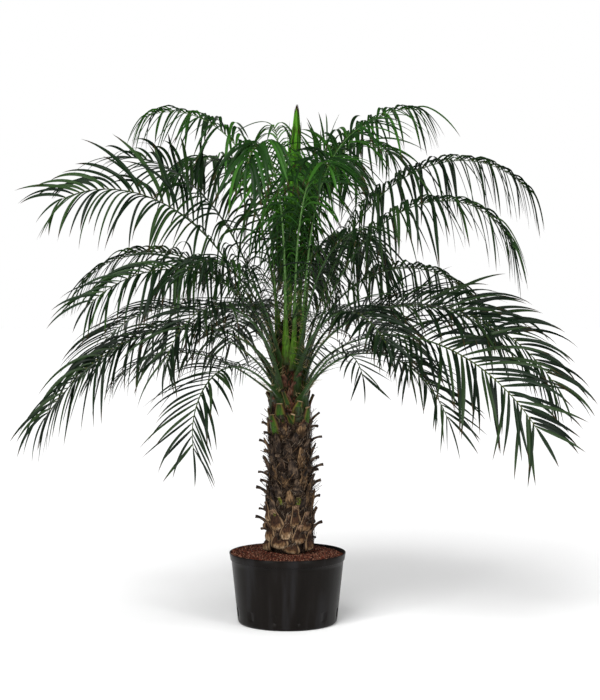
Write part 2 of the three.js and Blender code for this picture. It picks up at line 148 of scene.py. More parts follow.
# Shapes of the leaf bases, as rings of height, outward place, width and thickness in millimetres
BULB = [
    [-44, 0, 22, 8], [-39, 6, 42, 16], [-28, 10, 54, 20], [-14, 11, 54, 20], [2, 9, 44, 16], [16, 9, 36, 12],
    [32, 11, 34, 10], [46, 14, 37, 8],
]
SCALE = [
    [-34, -4, 34, 6], [-31, 6, 58, 14], [-24, 12, 76, 20], [-14, 13, 82, 20], [-3, 9, 72, 14], [10, 5, 54, 9],
    [26, 4, 40, 7], [44, 6, 33, 6],
]
WEDGE = [
    [-46, 0, 28, 5], [-28, 7, 38, 9], [-6, 12, 36, 11], [14, 16, 26, 10], [28, 20, 17, 8], [36, 22, 9, 4],
]
PEG = [
    [-24, -4, 30, 12], [-10, 4, 22, 12], [2, 12, 16, 11], [11, 21, 12, 10], [17, 30, 11, 9], [20, 38, 14, 11],
    [21, 45, 16, 12],
]
GREEN = [
    [-42, -1, 42, 5], [-20, 6, 50, 10], [2, 11, 46, 13], [18, 15, 37, 13], [32, 19, 27, 11], [37, 20, 24, 9],
]
STALK = [
    [-30, -4, 34, 8], [-12, 3, 30, 11], [6, 11, 22, 12], [22, 22, 17, 11], [36, 34, 15, 10], [46, 44, 15, 10],
]
FLAP = [[-34, -2, 40, 2], [-14, 5, 44, 2], [8, 10, 36, 2], [24, 15, 22, 2], [34, 19, 8, 1.5]]

# Kinds of leaf base: shape, lowest and highest place, share of the places there, lean outwards in degrees
BASE_KINDS = {
    "foot_scales": (SCALE, 0.309, 0.45, 0.8, 11),
    "foot_bulbs": (BULB, 0.37, 0.47, 0.4, 3),
    "foot_pegs": (PEG, 0.33, 0.48, 0.5, 6),
    "dark_wedges": (WEDGE, 0.46, 0.79, 0.5, 0),
    "tan_wedges": (WEDGE, 0.46, 0.79, 0.38, 2),
    "pegs": (PEG, 0.48, 0.79, 0.6, 4),
    "green_bases": (GREEN, 0.785, 0.905, 0.5, 2),
    "green_stalks": (STALK, 0.775, 0.905, 0.35, 0),
    "papery_flaps": (FLAP, 0.76, 1.00, 0.9, 4),
}

# Green remnants low on the trunk, as [azimuth in degrees, height], and their size
REMNANTS = [[246, 0.497], [293, 0.490], [226, 0.425], [60, 0.490], [130, 0.460]]
REMNANT_SIZE = 0.66

# Fibres over the trunk: count, lowest and highest place, lift, width, thickness and length in millimetres,
# greatest lean sideways and outwards in degrees, deep and pale colour. Real threads are finer; these are
# drawn to show. Each may sink by the depth and lean inwards by the tuck, in millimetres and degrees.
FIBRES = {
    "dark_fibre": (2400, 0.30, 0.87, 6, 1.5, 1.1, 62, 75, 14, "#1b1410", "#3f3127"),
    "grey_fibre": (900, 0.32, 0.87, 8, 1.3, 1.0, 48, 85, 14, "#4a4038", "#8a7c6c"),
    "tan_ribbons": (90, 0.46, 0.84, 10, 3, 1.2, 90, 50, 14, "#4a3422", "#8c7050"),
    "russet_fibre": (900, 0.80, 1.10, 5, 1.6, 1.2, 60, 40, 14, "#3d1d16", "#7a4a36"),
    "loose_scraps": (480, 0.45, 0.84, 5, 4.2, 1.4, 66, 45, 85, "#1a130e", "#5a4838"),
}
FIBRE_RINGS = 5
FIBRE_AROUND = 3
FIBRE_BOW = 0.12
FIBRE_DEPTH = 5
FIBRE_TUCK = 8
FIBRE_TURNS = (0, 0, 0.2)
FIBRE_SIZES = (0.3, 0.3, 0.5)
FIBRE_SEED = 31

# Fronds: the source's rule, with angles in degrees
CLEAR = 0.3 * MM
CROWN_TOP = 1.170
CROWN_FOOT = 0.900
RIB_STEPS = 120
SEAT_DEPTH = 16 * MM
PETIOLE_YOUNG = 0.29
PETIOLE_OLD = 0.18
ROLL_FULL_AT = 0.5
LEAF_LENGTH = 0.330
LEAF_CROWDING = 1.1
LEAF_FIRST = 0.4
LEAF_FULL_AT = 0.25
LEAF_FADE_AT = 0.55
LEAF_FADE = 0.3
LEAF_FADE_POWER = 1.6
VEE_BASE = 60
VEE_TIP = 25
VEE_OLD = 0.4
SWEEP_BASE = 30
SWEEP_RISE = 22
DROOP_BASE = 1.25
DROOP_TIP = 0.6
SMALL_FROND_LEAF = 0.2
SMALL_FROND_GROWTH = 0.75

# Fronds from the youngest to the oldest:
# azimuth, launch and bend in degrees, curl (power of the bend), length in metres, roll in degrees, droop
FRONDS = [
    [352, 87, 14, 2.0, 0.74, 0, 0.5],
    [100, 87, 62, 2.2, 0.96, 0, 2.4],
    [46, 88, 118, 2.3, 1.10, 0, 1.8],
    [165, 89, 106, 2.4, 1.20, 0, 2.2],
    [18, 85, 90, 2.8, 1.15, 0, 2.2],
    [320, 84, 72, 3.4, 0.96, 0, 1.8],
    [254, 88, 142, 2.8, 1.08, 0, 2.0],
    [126, 78, 112, 2.2, 1.20, 0, 2.0],
    [70, 79, 112, 2.0, 1.22, 0, 2.0],
    [286, 87, 110, 2.4, 0.98, 0, 1.6],
    [160, 72, 69, 2.1, 1.08, -20, 1.3],
    [4, 74, 126, 2.1, 1.37, 0, 2.2],
    [182, 67, 93, 1.95, 1.17, -45, 1.5],
    [226, 71, 116, 1.9, 0.72, 0, 1.6],
    [304, 74, 74, 1.9, 0.72, 0, 1.6],
    [342, 69, 141, 2.25, 1.23, 0, 2.0],
    [64, 66, 121, 1.8, 1.10, 0, 1.8],
    [136, 71, 121, 1.5, 0.92, 0, 1.8],
    [172, 70, 118, 1.5, 1.02, -10, 1.6],
    [208, 88, 129, 0.88, 1.01, -25, 1.4],
    [22, 78, 140, 1.15, 1.09, 10, 2.0],
    [86, 66, 115, 1.4, 1.20, 0, 1.6],
    [298, 62, 104, 1.1, 0.80, 10, 1.0],
    [354, 88, 145, 0.63, 1.22, 45, 1.0],
    [336, 84, 116, 0.65, 0.94, 20, 0.8],
    [212, 82, 136, 0.56, 1.18, -10, 1.4],
    [233, 72, 140, 1.2, 0.90, 0, 1.0],
    [194, 60, 108, 1.0, 0.82, -10, 1.1],
    [152, 66, 120, 1.0, 1.06, 0, 1.0],
    [58, 62, 122, 1.0, 1.12, 0, 1.0],
    [329, 87, 141, 0.53, 1.19, 50, 0.85],
    [106, 64, 110, 1.0, 1.10, 0, 1.0],
    [190, 39, 85, 1.6, 0.67, 0, 1.4],
    [317, 55, 118, 1.0, 0.87, 0, 0.8],
    [240, 33, 138, 1.85, 0.84, 0, 0.7],
    [298, 38, 106, 3.1, 0.59, 0, 0.3],
]

# Leaflets, finer than those of the solids, with angles in degrees. Slim goes by place on the frond, and the
# other tables by place on the leaflet: its outline, its fold, and where a hanging one (hump) and a stiff one
# (arc) bend. Between the two hump droops, leaflets go from stiff to hanging.
LEAF_SPACING = 23 * MM
LEAF_STAGGER = 0.25
LEAF_VEINS = 8
LEAF_WIDTH = 12.5 * MM
LEAF_SLIM = [[0, 0.45], [0.25, 0.75], [0.55, 1.2], [1, 1.05]]
LEAF_THICK = 0.8 * MM
LEAF_RINGS = 14
LEAF_RING_CROWDING = 1.3
LEAF_OUTLINE = [
    [0, 0.4], [0.06, 0.6], [0.2, 0.9], [0.38, 1], [0.6, 0.88], [0.78, 0.58], [0.92, 0.24], [1, 0.03],
]
LEAF_FOLD = [[0, 40], [0.2, 24], [0.6, 16], [1, 10]]
LEAF_TWIST = 34
LEAF_SWAY = 0.3
LEAF_LIFT = 8
LEAF_HUMP = [
    [0, 0.05], [0.08, 0.3], [0.13, 2.4], [0.18, 5.2], [0.27, 3.4], [0.37, 1.3], [0.55, 0.6], [1, 0.35],
]
LEAF_ARC = [[0, 0.3], [0.5, 1.0], [1, 1.6]]
HUMP_DROOPS = [0.7, 1.8]
LEAF_LENGTHS = [0.75, 1.1]
LEAF_WIDTHS = [0.8, 1.2]
END_LEAF = 0.75
LEAF_DROOPS = [0.7, 1.35]
DROOP_FACTOR = 1.15
VEE_SPREAD = 11
SWEEP_SPREAD = 7
PLACE_SPREAD = 0.28
LEAF_SEED = 7

# Greens by the age of the frond, dealt out by leaflet: first frond past the group, and its colours
LEAF_AGES = {
    "young": (2, ["#2f5a15", "#264c12", "#3b6e1a"]),
    "fresh": (10, ["#193810", "#132d0e", "#204515", "#2e5a18"]),
    "full": (21, ["#11240f", "#0c1c0d", "#172d12", "#243c18"]),
    "old": (None, ["#0e1c0e", "#0a150b", "#142313", "#22331a"]),
}
SPEAR_GREENS = ["#3d6b18", "#4f8a1e", "#2d5413"]

# Ribs, with the sheath that clasps the shaft below each
SHEATH = 0.090
SHEATH_RINGS = 7
SHEATH_WIDTH = 50 * MM
SHEATH_THICK = 6 * MM
SHEATH_LIFT = 3 * MM
RIB_RINGS = 70
RIB_AROUND = 12
RIB_CROWDING = 1.35
RIB_WIDTHS = [[0, 0.035], [0.05, 0.022], [0.14, 0.014], [0.30, 0.009], [0.5, 0.007], [1, 0.003]]
RIB_DEPTHS = [[0, 0.013], [0.05, 0.012], [0.14, 0.010], [0.30, 0.0085], [0.7, 0.0055], [1, 0.0026]]
RIB_GROOVE = 0.75
LEAF_ROOT = 0.6
FRESH_RIBS = 10

# Spines on the petioles; the waist is the height and width of the ring above the foot
SPINE_PITCH = 15 * MM
SPINE_AROUND = 4
SPINE_WAIST = (0.4, 0.7)
SPINE_SIZES = (0.15, 0.15, 0.2)
SPINE_SHARES = [0.02, 0.22]
SPINE_LENGTHS = [22 * MM, 50 * MM]
SPINE_THICK = 1.6 * MM
SPINE_RISE = 38
SPINE_SPREAD = 22
SPINE_ROOT = 0.8
SPINE_SEED = 19

# Spear leaf, still folded: shares of its length where leaflets start and how far they reach, its girth in
# metres, how far the leaflets' tips stand out in shares of the girth, and the rib's radius in metres
SPEAR_FOOT = [TRUNK_X, 0, 1.2203]
SPEAR_TIP = [0.038, 0, 2.066]
SPEAR_LEAVES = 96
SPEAR_STARTS = [0.30, 0.82]
SPEAR_REACH = [0.20, 0.32]
SPEAR_GIRTH = [[0, 0.006], [0.3, 0.014], [0.6, 0.032], [0.8, 0.036], [0.93, 0.022], [1, 0.002]]
SPEAR_SPLAY = [0.4, 1.6]
SPEAR_SWAY = 0.05
SPEAR_RIB = [[0, 0.007], [0.6, 0.005], [0.97, 0.001]]
SPEAR_RINGS = 16
SPEAR_SEED = 9

# Camera and light
CAMERA_PLACE = (0.050, -7.0, 1.45)
CAMERA_PITCH = 2.93
CAMERA_LENS = 90.46
FLOOR_SIZE = 60

# Studio: a dim white surround that the camera sees as white, soft suns by the way they come from, with power
# and spread in degrees, and soft boxes by place, size and power
SKY_LIGHT = 0.35
SKY_GLOSS = 0.08
SUNS = [
    ("key", (-0.35, -0.85, 1.0), 2.6, 35),
    ("fill", (0.9, -0.5, 0.7), 0.5, 60),
    ("back", (0.2, 0.9, 0.9), 0.5, 60),
]
SOFT_BOXES = [
    ("box_left", (-1.9, -2.5, 0.9), (0.3, 2.4), 40),
    ("box_right", (1.9, -2.5, 0.9), (0.3, 2.4), 40),
]
FLOOR_COLOUR = "#f7f7f7"


def mix(low, high, share):
    return low + (high - low) * share


# Value at a place on the line through [place, value] pairs
def along(pairs, place):
    return np.interp(place, [pair[0] for pair in pairs], [pair[1] for pair in pairs])


def unit(vectors):
    return vectors / np.linalg.norm(vectors, axis=-1, keepdims=True)


def dot(a, b):
    return (a * b).sum(axis=-1, keepdims=True)


def trunk_radius(height):
    return along(TRUNK_PROFILE, height)


# Closed tubes through rings of points, shaped (tubes, rings, around, 3), each with a middle point at foot and
# tip. The map runs from 0 to 1 round each tube and along it.
def loft(rings, tips, feet=None):
    tubes, count, around, _ = rings.shape
    if feet is None:
        feet = rings[:, 0].mean(axis=1)
    body = rings.reshape(tubes, count * around, 3)
    points = np.concatenate([body, feet[:, None], tips[:, None]], axis=1)
    here = np.arange(around)
    after = (here + 1) % around
    ring = np.arange(count - 1)[:, None] * around
    walls = np.stack([ring + here, ring + after, ring + around + after, ring + around + here], axis=-1)
    last = (count - 1) * around
    foot = np.stack([np.full(around, count * around), after, here], axis=-1)
    tip = np.stack([last + here, last + after, np.full(around, count * around + 1)], axis=-1)
    grid = np.stack(np.meshgrid(here, np.arange(count - 1)), axis=-1)
    wall_uv = (grid[:, :, None] + [[0, 0], [1, 0], [1, 1], [0, 1]]) / [around, count - 1]
    columns = np.stack([here, np.zeros(around)], axis=-1)[:, None]
    foot_uv = (columns + [[0.5, 0], [1, 0], [0, 0]]) / [around, 1]
    tip_uv = (columns + [[0, 1], [1, 1], [0.5, 1]]) / [around, 1]
    start = (np.arange(tubes) * (count * around + 2))[:, None, None]
    caps = np.concatenate([foot, tip])
    return {
        "points": points.reshape(-1, 3),
        "quads": (walls.reshape(-1, 4)[None] + start).reshape(-1, 4),
        "triangles": (caps[None] + start).reshape(-1, 3),
        "quad_uv": np.tile(wall_uv.reshape(-1, 2), (tubes, 1)),
        "triangle_uv": np.tile(np.concatenate([foot_uv, tip_uv]).reshape(-1, 2), (tubes, 1)),
        "around": around,
    }


# A mesh object from a shape's arrays; creased keeps its edges along the tubes sharp
def new_piece(name, shape, material=None, creased=False):
    mesh = bpy.data.meshes.new(name)
    mesh.vertices.add(len(shape["points"]))
    mesh.vertices.foreach_set("co", shape["points"].astype(np.float32).ravel())
    quads = shape["quads"]
    triangles = shape["triangles"]
    corners = np.concatenate([quads.ravel(), triangles.ravel()]).astype(np.int32)
    mesh.loops.add(len(corners))
    mesh.loops.foreach_set("vertex_index", corners)
    starts = np.concatenate([np.arange(len(quads)) * 4, quads.size + np.arange(len(triangles)) * 3])
    mesh.polygons.add(len(starts))
    mesh.polygons.foreach_set("loop_start", starts.astype(np.int32))
    mesh.update(calc_edges=True)
    uv = np.concatenate([shape["quad_uv"], shape["triangle_uv"]])
    mesh.uv_layers.new(name="UVMap").uv.foreach_set("vector", uv.astype(np.float32).ravel())
    mesh.polygons.foreach_set("use_smooth", np.ones(len(starts), dtype=bool))
    if creased:
        pairs = np.empty(len(mesh.edges) * 2, dtype=np.int32)
        mesh.edges.foreach_get("vertices", pairs)
        pairs = pairs.reshape(-1, 2)
        mesh.edges.foreach_set("use_edge_sharp", np.abs(pairs[:, 0] - pairs[:, 1]) == shape["around"])
    if material:
        mesh.materials.append(material)
    piece = bpy.data.objects.new(name, mesh)
    bpy.context.collection.objects.link(piece)
    return piece


# Hands a finished piece to the frame
def hand_over(piece, slot, *nodes):
    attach(piece, "root")
    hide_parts(*nodes)


# Adds a node, for a material or for geometry. An input is a value, a socket, or a node, which stands for its
# first output in use. Stops are the [place, colour] pairs of a colour ramp.
def add_node(tree, kind, inputs=None, stops=(), **settings):
    node = tree.nodes.new(kind)
    for name, value in settings.items():
        setattr(node, name, value)
    for name, value in (inputs or {}).items():
        if isinstance(value, bpy.types.Node):
            value = next(output for output in value.outputs if output.enabled)
        if isinstance(value, bpy.types.NodeSocket):
            tree.links.new(value, node.inputs[name])
        else:
            node.inputs[name].default_value = value
    for i, (place, colour) in enumerate(stops):
        ramp = node.color_ramp.elements
        stop = ramp[i] if i < len(ramp) else ramp.new(place)
        stop.position = place
        stop.color = linear(colour)
    return node


# sRGB hex to the linear colour that a shader takes
def linear(colour):
    channels = [int(colour[i:i + 2], 16) / 255 for i in (1, 3, 5)]
    return [c / 12.92 if c <= 0.04045 else ((c + 0.055) / 1.055) ** 2.4 for c in channels] + [1.0]


# A plain material, whose own function then gives it colour and relief
def start_material(name, specular, roughness=0.5):
    material = bpy.data.materials.new(name)
    material.use_nodes = True
    tree = material.node_tree
    shader = tree.nodes["Principled BSDF"]
    shader.inputs["Roughness"].default_value = roughness
    shader.inputs["Specular IOR Level"].default_value = specular
    return material, tree, shader


# Places on a piece's own map: round it and along it, and how near a point is to the edges of its outer face
def read_map(tree):
    uv = add_node(tree, "ShaderNodeUVMap", uv_map="UVMap")
    split = add_node(tree, "ShaderNodeSeparateXYZ", {"Vector": uv})
    turns = add_node(tree, "ShaderNodeMath", {0: split.outputs["X"], 1: math.tau}, operation="MULTIPLY")
    wave = add_node(tree, "ShaderNodeMath", {0: turns}, operation="COSINE")
    edge = add_node(tree, "ShaderNodeMath", {0: wave}, operation="ABSOLUTE")
    return split.outputs["X"], split.outputs["Y"], edge


# Waxy leaf skin: a soft sheen, yellowish at the rib and dry at the tip, with fine veins along the leaflet.
# Real veins are 0.5 mm apart; here eight go round a leaflet, so that they show.
def leaf_skin(name, colour):
    material, tree, shader = start_material(name, roughness=0.42, specular=0.13)
    across, up, _ = read_map(tree)
    green = add_node(tree, "ShaderNodeValToRGB", {"Fac": up}, [
        [0.0, "#4c4d1e"], [0.08, colour], [0.92, colour], [1.0, "#32240f"],
    ])
    tree.links.new(green.outputs["Color"], shader.inputs["Base Color"])
    turns = add_node(tree, "ShaderNodeMath", {0: across, 1: LEAF_VEINS * math.tau}, operation="MULTIPLY")
    veins = add_node(tree, "ShaderNodeMath", {0: turns}, operation="SINE")
    bump = add_node(tree, "ShaderNodeBump", {"Height": veins, "Strength": 0.25, "Distance": 0.3 * MM})
    tree.links.new(bump.outputs["Normal"], shader.inputs["Normal"])
    return material


# Living petiole: smooth and green under a streaked bloom, brown and fibrous at its foot and along the edges
# of its sheath
def petiole_skin(name, low, high):
    material, tree, shader = start_material(name, roughness=0.4, specular=0.16)
    _, up, edge = read_map(tree)
    green = add_node(tree, "ShaderNodeValToRGB", {"Fac": up}, [
        [0.0, "#20240c"], [0.06, low], [0.2, low], [0.36, high], [1.0, high],
    ])
    bloom = add_node(tree, "ShaderNodeValToRGB", {"Fac": streaks(tree)}, [
        [0.36, "#9a9a90"], [0.62, "#ffffff"],
    ])
    skin = add_node(tree, "ShaderNodeMix", {
        0: 1.0, 6: green, 7: bloom,
    }, data_type="RGBA", blend_type="MULTIPLY")
    sharp = add_node(tree, "ShaderNodeMath", {0: edge, 1: 7.0}, operation="POWER")
    near = add_node(tree, "ShaderNodeMapRange", {
        "Value": up, "From Min": 0.06, "From Max": 0.16, "To Min": 0.9, "To Max": 0.0,
    })
    share = add_node(tree, "ShaderNodeMath", {0: sharp, 1: near}, operation="MULTIPLY")
    blend = add_node(tree, "ShaderNodeMix", {0: share, 6: skin, 7: linear("#3d2a14")}, data_type="RGBA")
    tree.links.new(blend.outputs[2], shader.inputs["Base Color"])
    return material


# Horny spine: green at its root, straw towards the point
def spine_horn():
    material, tree, shader = start_material("spine_horn", roughness=0.45, specular=0.3)
    _, up, _ = read_map(tree)
    colour = add_node(tree, "ShaderNodeValToRGB", {"Fac": up}, [
        [0.0, "#4d5a26"], [0.3, "#7a7040"], [1.0, "#93835c"],
    ])
    tree.links.new(colour.outputs["Color"], shader.inputs["Base Color"])
    return material


# Weathered streaks in a plant's tissue, 4 mm wide and drawn out upwards
def streaks(tree):
    place = add_node(tree, "ShaderNodeTexCoord").outputs["Object"]
    drawn = add_node(tree, "ShaderNodeMapping", {"Vector": place, "Scale": (1, 1, 0.22)})
    return add_node(tree, "ShaderNodeTexNoise", {"Vector": drawn, "Scale": 1 / (4 * MM), "Detail": 5})


# Weathered blotches in a plant's tissue, of the given size
def blotches(tree, size):
    place = add_node(tree, "ShaderNodeTexCoord").outputs["Object"]
    return add_node(tree, "ShaderNodeTexNoise", {"Vector": place, "Scale": 1 / size, "Detail": 4})


# Dead leaf tissue: matt, with weathered streaks along it and blotches 30 mm across
def dead_tissue(name, deep, mid, pale):
    material, tree, shader = start_material(name, roughness=0.85, specular=0.2)
    streak = streaks(tree)
    both = add_node(tree, "ShaderNodeMath", {0: streak, 1: blotches(tree, 30 * MM)}, operation="ADD")
    half = add_node(tree, "ShaderNodeMath", {0: both, 1: 0.5}, operation="MULTIPLY")
    colour = add_node(tree, "ShaderNodeValToRGB", {"Fac": half}, [[0.4, deep], [0.5, mid], [0.6, pale]])
    bump = add_node(tree, "ShaderNodeBump", {"Height": streak, "Strength": 0.8, "Distance": 2 * MM})
    tree.links.new(colour.outputs["Color"], shader.inputs["Base Color"])
    tree.links.new(bump.outputs["Normal"], shader.inputs["Normal"])
    return material


# Swollen old leaf base: a cream lip below with painted shadow along its foot, a brown neck, thin pale
# margins between bands of painted shade on its sides, with blotches 20 mm across and streaks 4 mm wide
# along it
def swollen_base():
    material, tree, shader = start_material("swollen_leaf_base", roughness=0.8, specular=0.2)
    _, up, edge = read_map(tree)
    streak = streaks(tree)
    shift = add_node(tree, "ShaderNodeMapRange", {
        "Value": blotches(tree, 20 * MM), "To Min": -0.22, "To Max": 0.22,
    })
    moved = add_node(tree, "ShaderNodeMath", {0: up, 1: shift}, operation="ADD")
    # Its lowest, darkest stop is painted shadow at the foot of the base
    belly_and_painted_shadow = add_node(tree, "ShaderNodeValToRGB", {"Fac": moved}, [
        [0.06, "#180e08"], [0.16, "#4f3826"], [0.25, "#b39a7b"], [0.36, "#7c5f41"], [0.46, "#422a19"],
        [0.84, "#2f1c10"], [0.98, "#806650"],
    ])
    grain = add_node(tree, "ShaderNodeValToRGB", {"Fac": streak}, [[0.36, "#8e8680"], [0.58, "#ffffff"]])
    streaked_belly_and_painted_shadow = add_node(tree, "ShaderNodeMix", {
        0: 1.0, 6: belly_and_painted_shadow, 7: grain,
    }, data_type="RGBA", blend_type="MULTIPLY")
    # Its dark stops either side of the pale margin are painted shade, where the base meets its neighbours
    margin_and_painted_shade = add_node(tree, "ShaderNodeValToRGB", {"Fac": edge}, [
        [0.7, "#2b1c11"], [0.8, "#80674b"], [0.88, "#6b543e"], [0.95, "#1c120b"],
    ])
    near = add_node(tree, "ShaderNodeMapRange", {"Value": edge, "From Min": 0.5, "From Max": 0.72})
    blend = add_node(tree, "ShaderNodeMix", {0: near, 6: streaked_belly_and_painted_shadow, 7: margin_and_painted_shade}, data_type="RGBA")
    bump = add_node(tree, "ShaderNodeBump", {"Height": streak, "Strength": 0.6, "Distance": 2 * MM})
    tree.links.new(blend.outputs[2], shader.inputs["Base Color"])
    tree.links.new(bump.outputs["Normal"], shader.inputs["Normal"])
    return material


# Leaf base cut while green: streaked green down the middle, drying upwards, olive and tan along both edges,
# and a dry cut on top
def green_base(name, deep, green, cut):
    material, tree, shader = start_material(name, roughness=0.5, specular=0.15)
    _, up, edge = read_map(tree)
    tone = add_node(tree, "ShaderNodeValToRGB", {"Fac": streaks(tree)}, [[0.36, deep], [0.62, green]])
    rim = add_node(tree, "ShaderNodeValToRGB", {"Fac": edge}, [
        [0.6, "#5a5a1c"], [0.8, "#4d3a18"], [0.96, "#2c190d"],
    ])
    near = add_node(tree, "ShaderNodeMapRange", {"Value": edge, "From Min": 0.4, "From Max": 0.74})
    drying = add_node(tree, "ShaderNodeValToRGB", {"Fac": up}, [
        [0.25, "#ffffff"], [0.6, "#c4c0a0"], [0.85, "#857058"],
    ])
    flesh = add_node(tree, "ShaderNodeMix", {
        0: 1.0, 6: tone, 7: drying,
    }, data_type="RGBA", blend_type="MULTIPLY")
    body = add_node(tree, "ShaderNodeMix", {0: near, 6: flesh, 7: rim}, data_type="RGBA")
    top = add_node(tree, "ShaderNodeMapRange", {"Value": up, "From Min": 0.86, "From Max": 0.98})
    blend = add_node(tree, "ShaderNodeMix", {0: top, 6: body, 7: linear(cut)}, data_type="RGBA")
    tree.links.new(blend.outputs[2], shader.inputs["Base Color"])
    return material


# Dry fibre: matt, paler and darker by stretches 12 mm long
def fibre(name, deep, pale):
    material, tree, shader = start_material(name, roughness=0.9, specular=0.15)
    place = add_node(tree, "ShaderNodeTexCoord").outputs["Object"]
    stretch = add_node(tree, "ShaderNodeTexNoise", {"Vector": place, "Scale": 1 / (12 * MM)})
    colour = add_node(tree, "ShaderNodeValToRGB", {"Fac": stretch}, [[0.4, deep], [0.62, pale]])
    tree.links.new(colour.outputs["Color"], shader.inputs["Base Color"])
    return material


# Matted sheath fibre under the leaf bases: threads that cross both ways, olive on the shaft, near black below
# it. Real threads are 1 mm apart; here they are 4 mm, so that they show.
def fibre_mat():
    material, tree, shader = start_material("sheath_fibre_mat", roughness=0.95, specular=0.1)
    uv = add_node(tree, "ShaderNodeUVMap", uv_map="UVMap")
    laid = add_node(tree, "ShaderNodeMapping", {"Vector": uv, "Scale": MAT_SIZE})
    layers = []
    for turn in (MAT_TURN, -MAT_TURN):
        turned = add_node(tree, "ShaderNodeMapping", {"Vector": laid, "Rotation": (0, 0, turn)})
        drawn = add_node(tree, "ShaderNodeMapping", {"Vector": turned, "Scale": MAT_THREADS})
        layers.append(add_node(tree, "ShaderNodeTexNoise", {"Vector": drawn, "Scale": 1, "Detail": 3}))
    weave = add_node(tree, "ShaderNodeMath", {0: layers[0], 1: layers[1]}, operation="MAXIMUM")
    threads = add_node(tree, "ShaderNodeValToRGB", {"Fac": weave}, [
        [0.45, "#0e0a08"], [0.58, "#2b2019"], [0.74, "#5f4d3c"],
    ])
    olive = add_node(tree, "ShaderNodeValToRGB", {"Fac": weave}, [
        [0.45, "#0d0d07"], [0.58, "#1f2110"], [0.74, "#443f22"],
    ])
    place = add_node(tree, "ShaderNodeTexCoord").outputs["Object"]
    height = add_node(tree, "ShaderNodeSeparateXYZ", {"Vector": place}).outputs["Z"]
    high = add_node(tree, "ShaderNodeMapRange", {"Value": height, "From Min": 0.74, "From Max": 0.82})
    blend = add_node(tree, "ShaderNodeMix", {0: high, 6: threads, 7: olive}, data_type="RGBA")
    bump = add_node(tree, "ShaderNodeBump", {"Height": weave, "Strength": 1.0, "Distance": 4 * MM})
    tree.links.new(blend.outputs[2], shader.inputs["Base Color"])
    tree.links.new(bump.outputs["Normal"], shader.inputs["Normal"])
    return material


# Moulded polypropylene: near black with a satin gloss that varies, upright streaks of painted highlight 60 mm
# wide that stand in for reflections of tall lamps, and a faint orange peel 9 mm across
def moulded_plastic():
    material, tree, shader = start_material("moulded_polypropylene", specular=0.08)
    place = add_node(tree, "ShaderNodeTexCoord").outputs["Object"]
    drawn = add_node(tree, "ShaderNodeMapping", {"Vector": place, "Scale": (1, 1, 0.08)})
    painted_highlight_streaks = add_node(tree, "ShaderNodeTexNoise", {"Vector": drawn, "Scale": 1 / (60 * MM), "Detail": 3})
    # The palest stop paints upright highlight bands into the pot's colour
    colour = add_node(tree, "ShaderNodeValToRGB", {"Fac": painted_highlight_streaks}, [
        [0.38, "#0c0907"], [0.54, "#110e0c"], [0.7, "#1d1c1d"],
    ])
    tree.links.new(colour.outputs["Color"], shader.inputs["Base Color"])
    peel = add_node(tree, "ShaderNodeTexNoise", {"Vector": place, "Scale": 1 / (9 * MM), "Detail": 2})
    gloss = add_node(tree, "ShaderNodeMapRange", {"Value": peel, "To Min": 0.24, "To Max": 0.4})
    bump = add_node(tree, "ShaderNodeBump", {"Height": peel, "Strength": 0.12, "Distance": 0.5 * MM})
    tree.links.new(gloss.outputs["Result"], shader.inputs["Roughness"])
    tree.links.new(bump.outputs["Normal"], shader.inputs["Normal"])
    return material


# Fired clay granule: matt, tinted by patches 12 mm across, with pores 1 mm across
def fired_clay(name, deep, pale):
    material, tree, shader = start_material(name, roughness=0.9, specular=0.15)
    place = add_node(tree, "ShaderNodeTexCoord").outputs["Object"]
    patch = add_node(tree, "ShaderNodeTexNoise", {"Vector": place, "Scale": 1 / (12 * MM)})
    colour = add_node(tree, "ShaderNodeValToRGB", {"Fac": patch}, [[0.38, deep], [0.62, pale]])
    pores = add_node(tree, "ShaderNodeTexNoise", {"Vector": place, "Scale": 1 / MM, "Detail": 2})
    bump = add_node(tree, "ShaderNodeBump", {"Height": pores, "Strength": 0.5, "Distance": 1 * MM})
    tree.links.new(colour.outputs["Color"], shader.inputs["Base Color"])
    tree.links.new(bump.outputs["Normal"], shader.inputs["Normal"])
    return material


# A geometry tree with named inputs
def new_tree(name, inputs):
    tree = bpy.data.node_groups.new(name, "GeometryNodeTree")
    tree.interface.new_socket("Geometry", in_out="INPUT", socket_type="NodeSocketGeometry")
    for label, kind in inputs.items():
        tree.interface.new_socket(label, in_out="INPUT", socket_type=kind)
    tree.interface.new_socket("Geometry", in_out="OUTPUT", socket_type="NodeSocketGeometry")
    return tree


# A size by chance for each point, from one less its spread to one more
def chance_size(tree, given):
    spread = given["Size spread"]
    small = add_node(tree, "ShaderNodeVectorMath", {0: (1, 1, 1), 1: spread}, operation="SUBTRACT")
    large = add_node(tree, "ShaderNodeVectorMath", {0: (1, 1, 1), 1: spread}, operation="ADD")
    return add_node(tree, "FunctionNodeRandomValue", {
        "Min": small, "Max": large, "Seed": given["Seed"],
    }, data_type="FLOAT_VECTOR")


# Stands the piece on the points by a turn and a size, makes it real and gives it its finish
def end_tree(tree, given, points, turn, size):
    rotation = add_node(tree, "FunctionNodeEulerToRotation", {"Euler": turn})
    piece = add_node(tree, "GeometryNodeObjectInfo", {"Object": given["Piece"]}).outputs["Geometry"]
    stand = add_node(tree, "GeometryNodeInstanceOnPoints", {
        "Points": points, "Instance": piece, "Rotation": rotation, "Scale": size,
    })
    real = add_node(tree, "GeometryNodeRealizeInstances", {"Geometry": stand})
    painted = add_node(tree, "GeometryNodeSetMaterial", {"Geometry": real, "Material": given["Material"]})
    add_node(tree, "NodeGroupOutput", {"Geometry": painted})


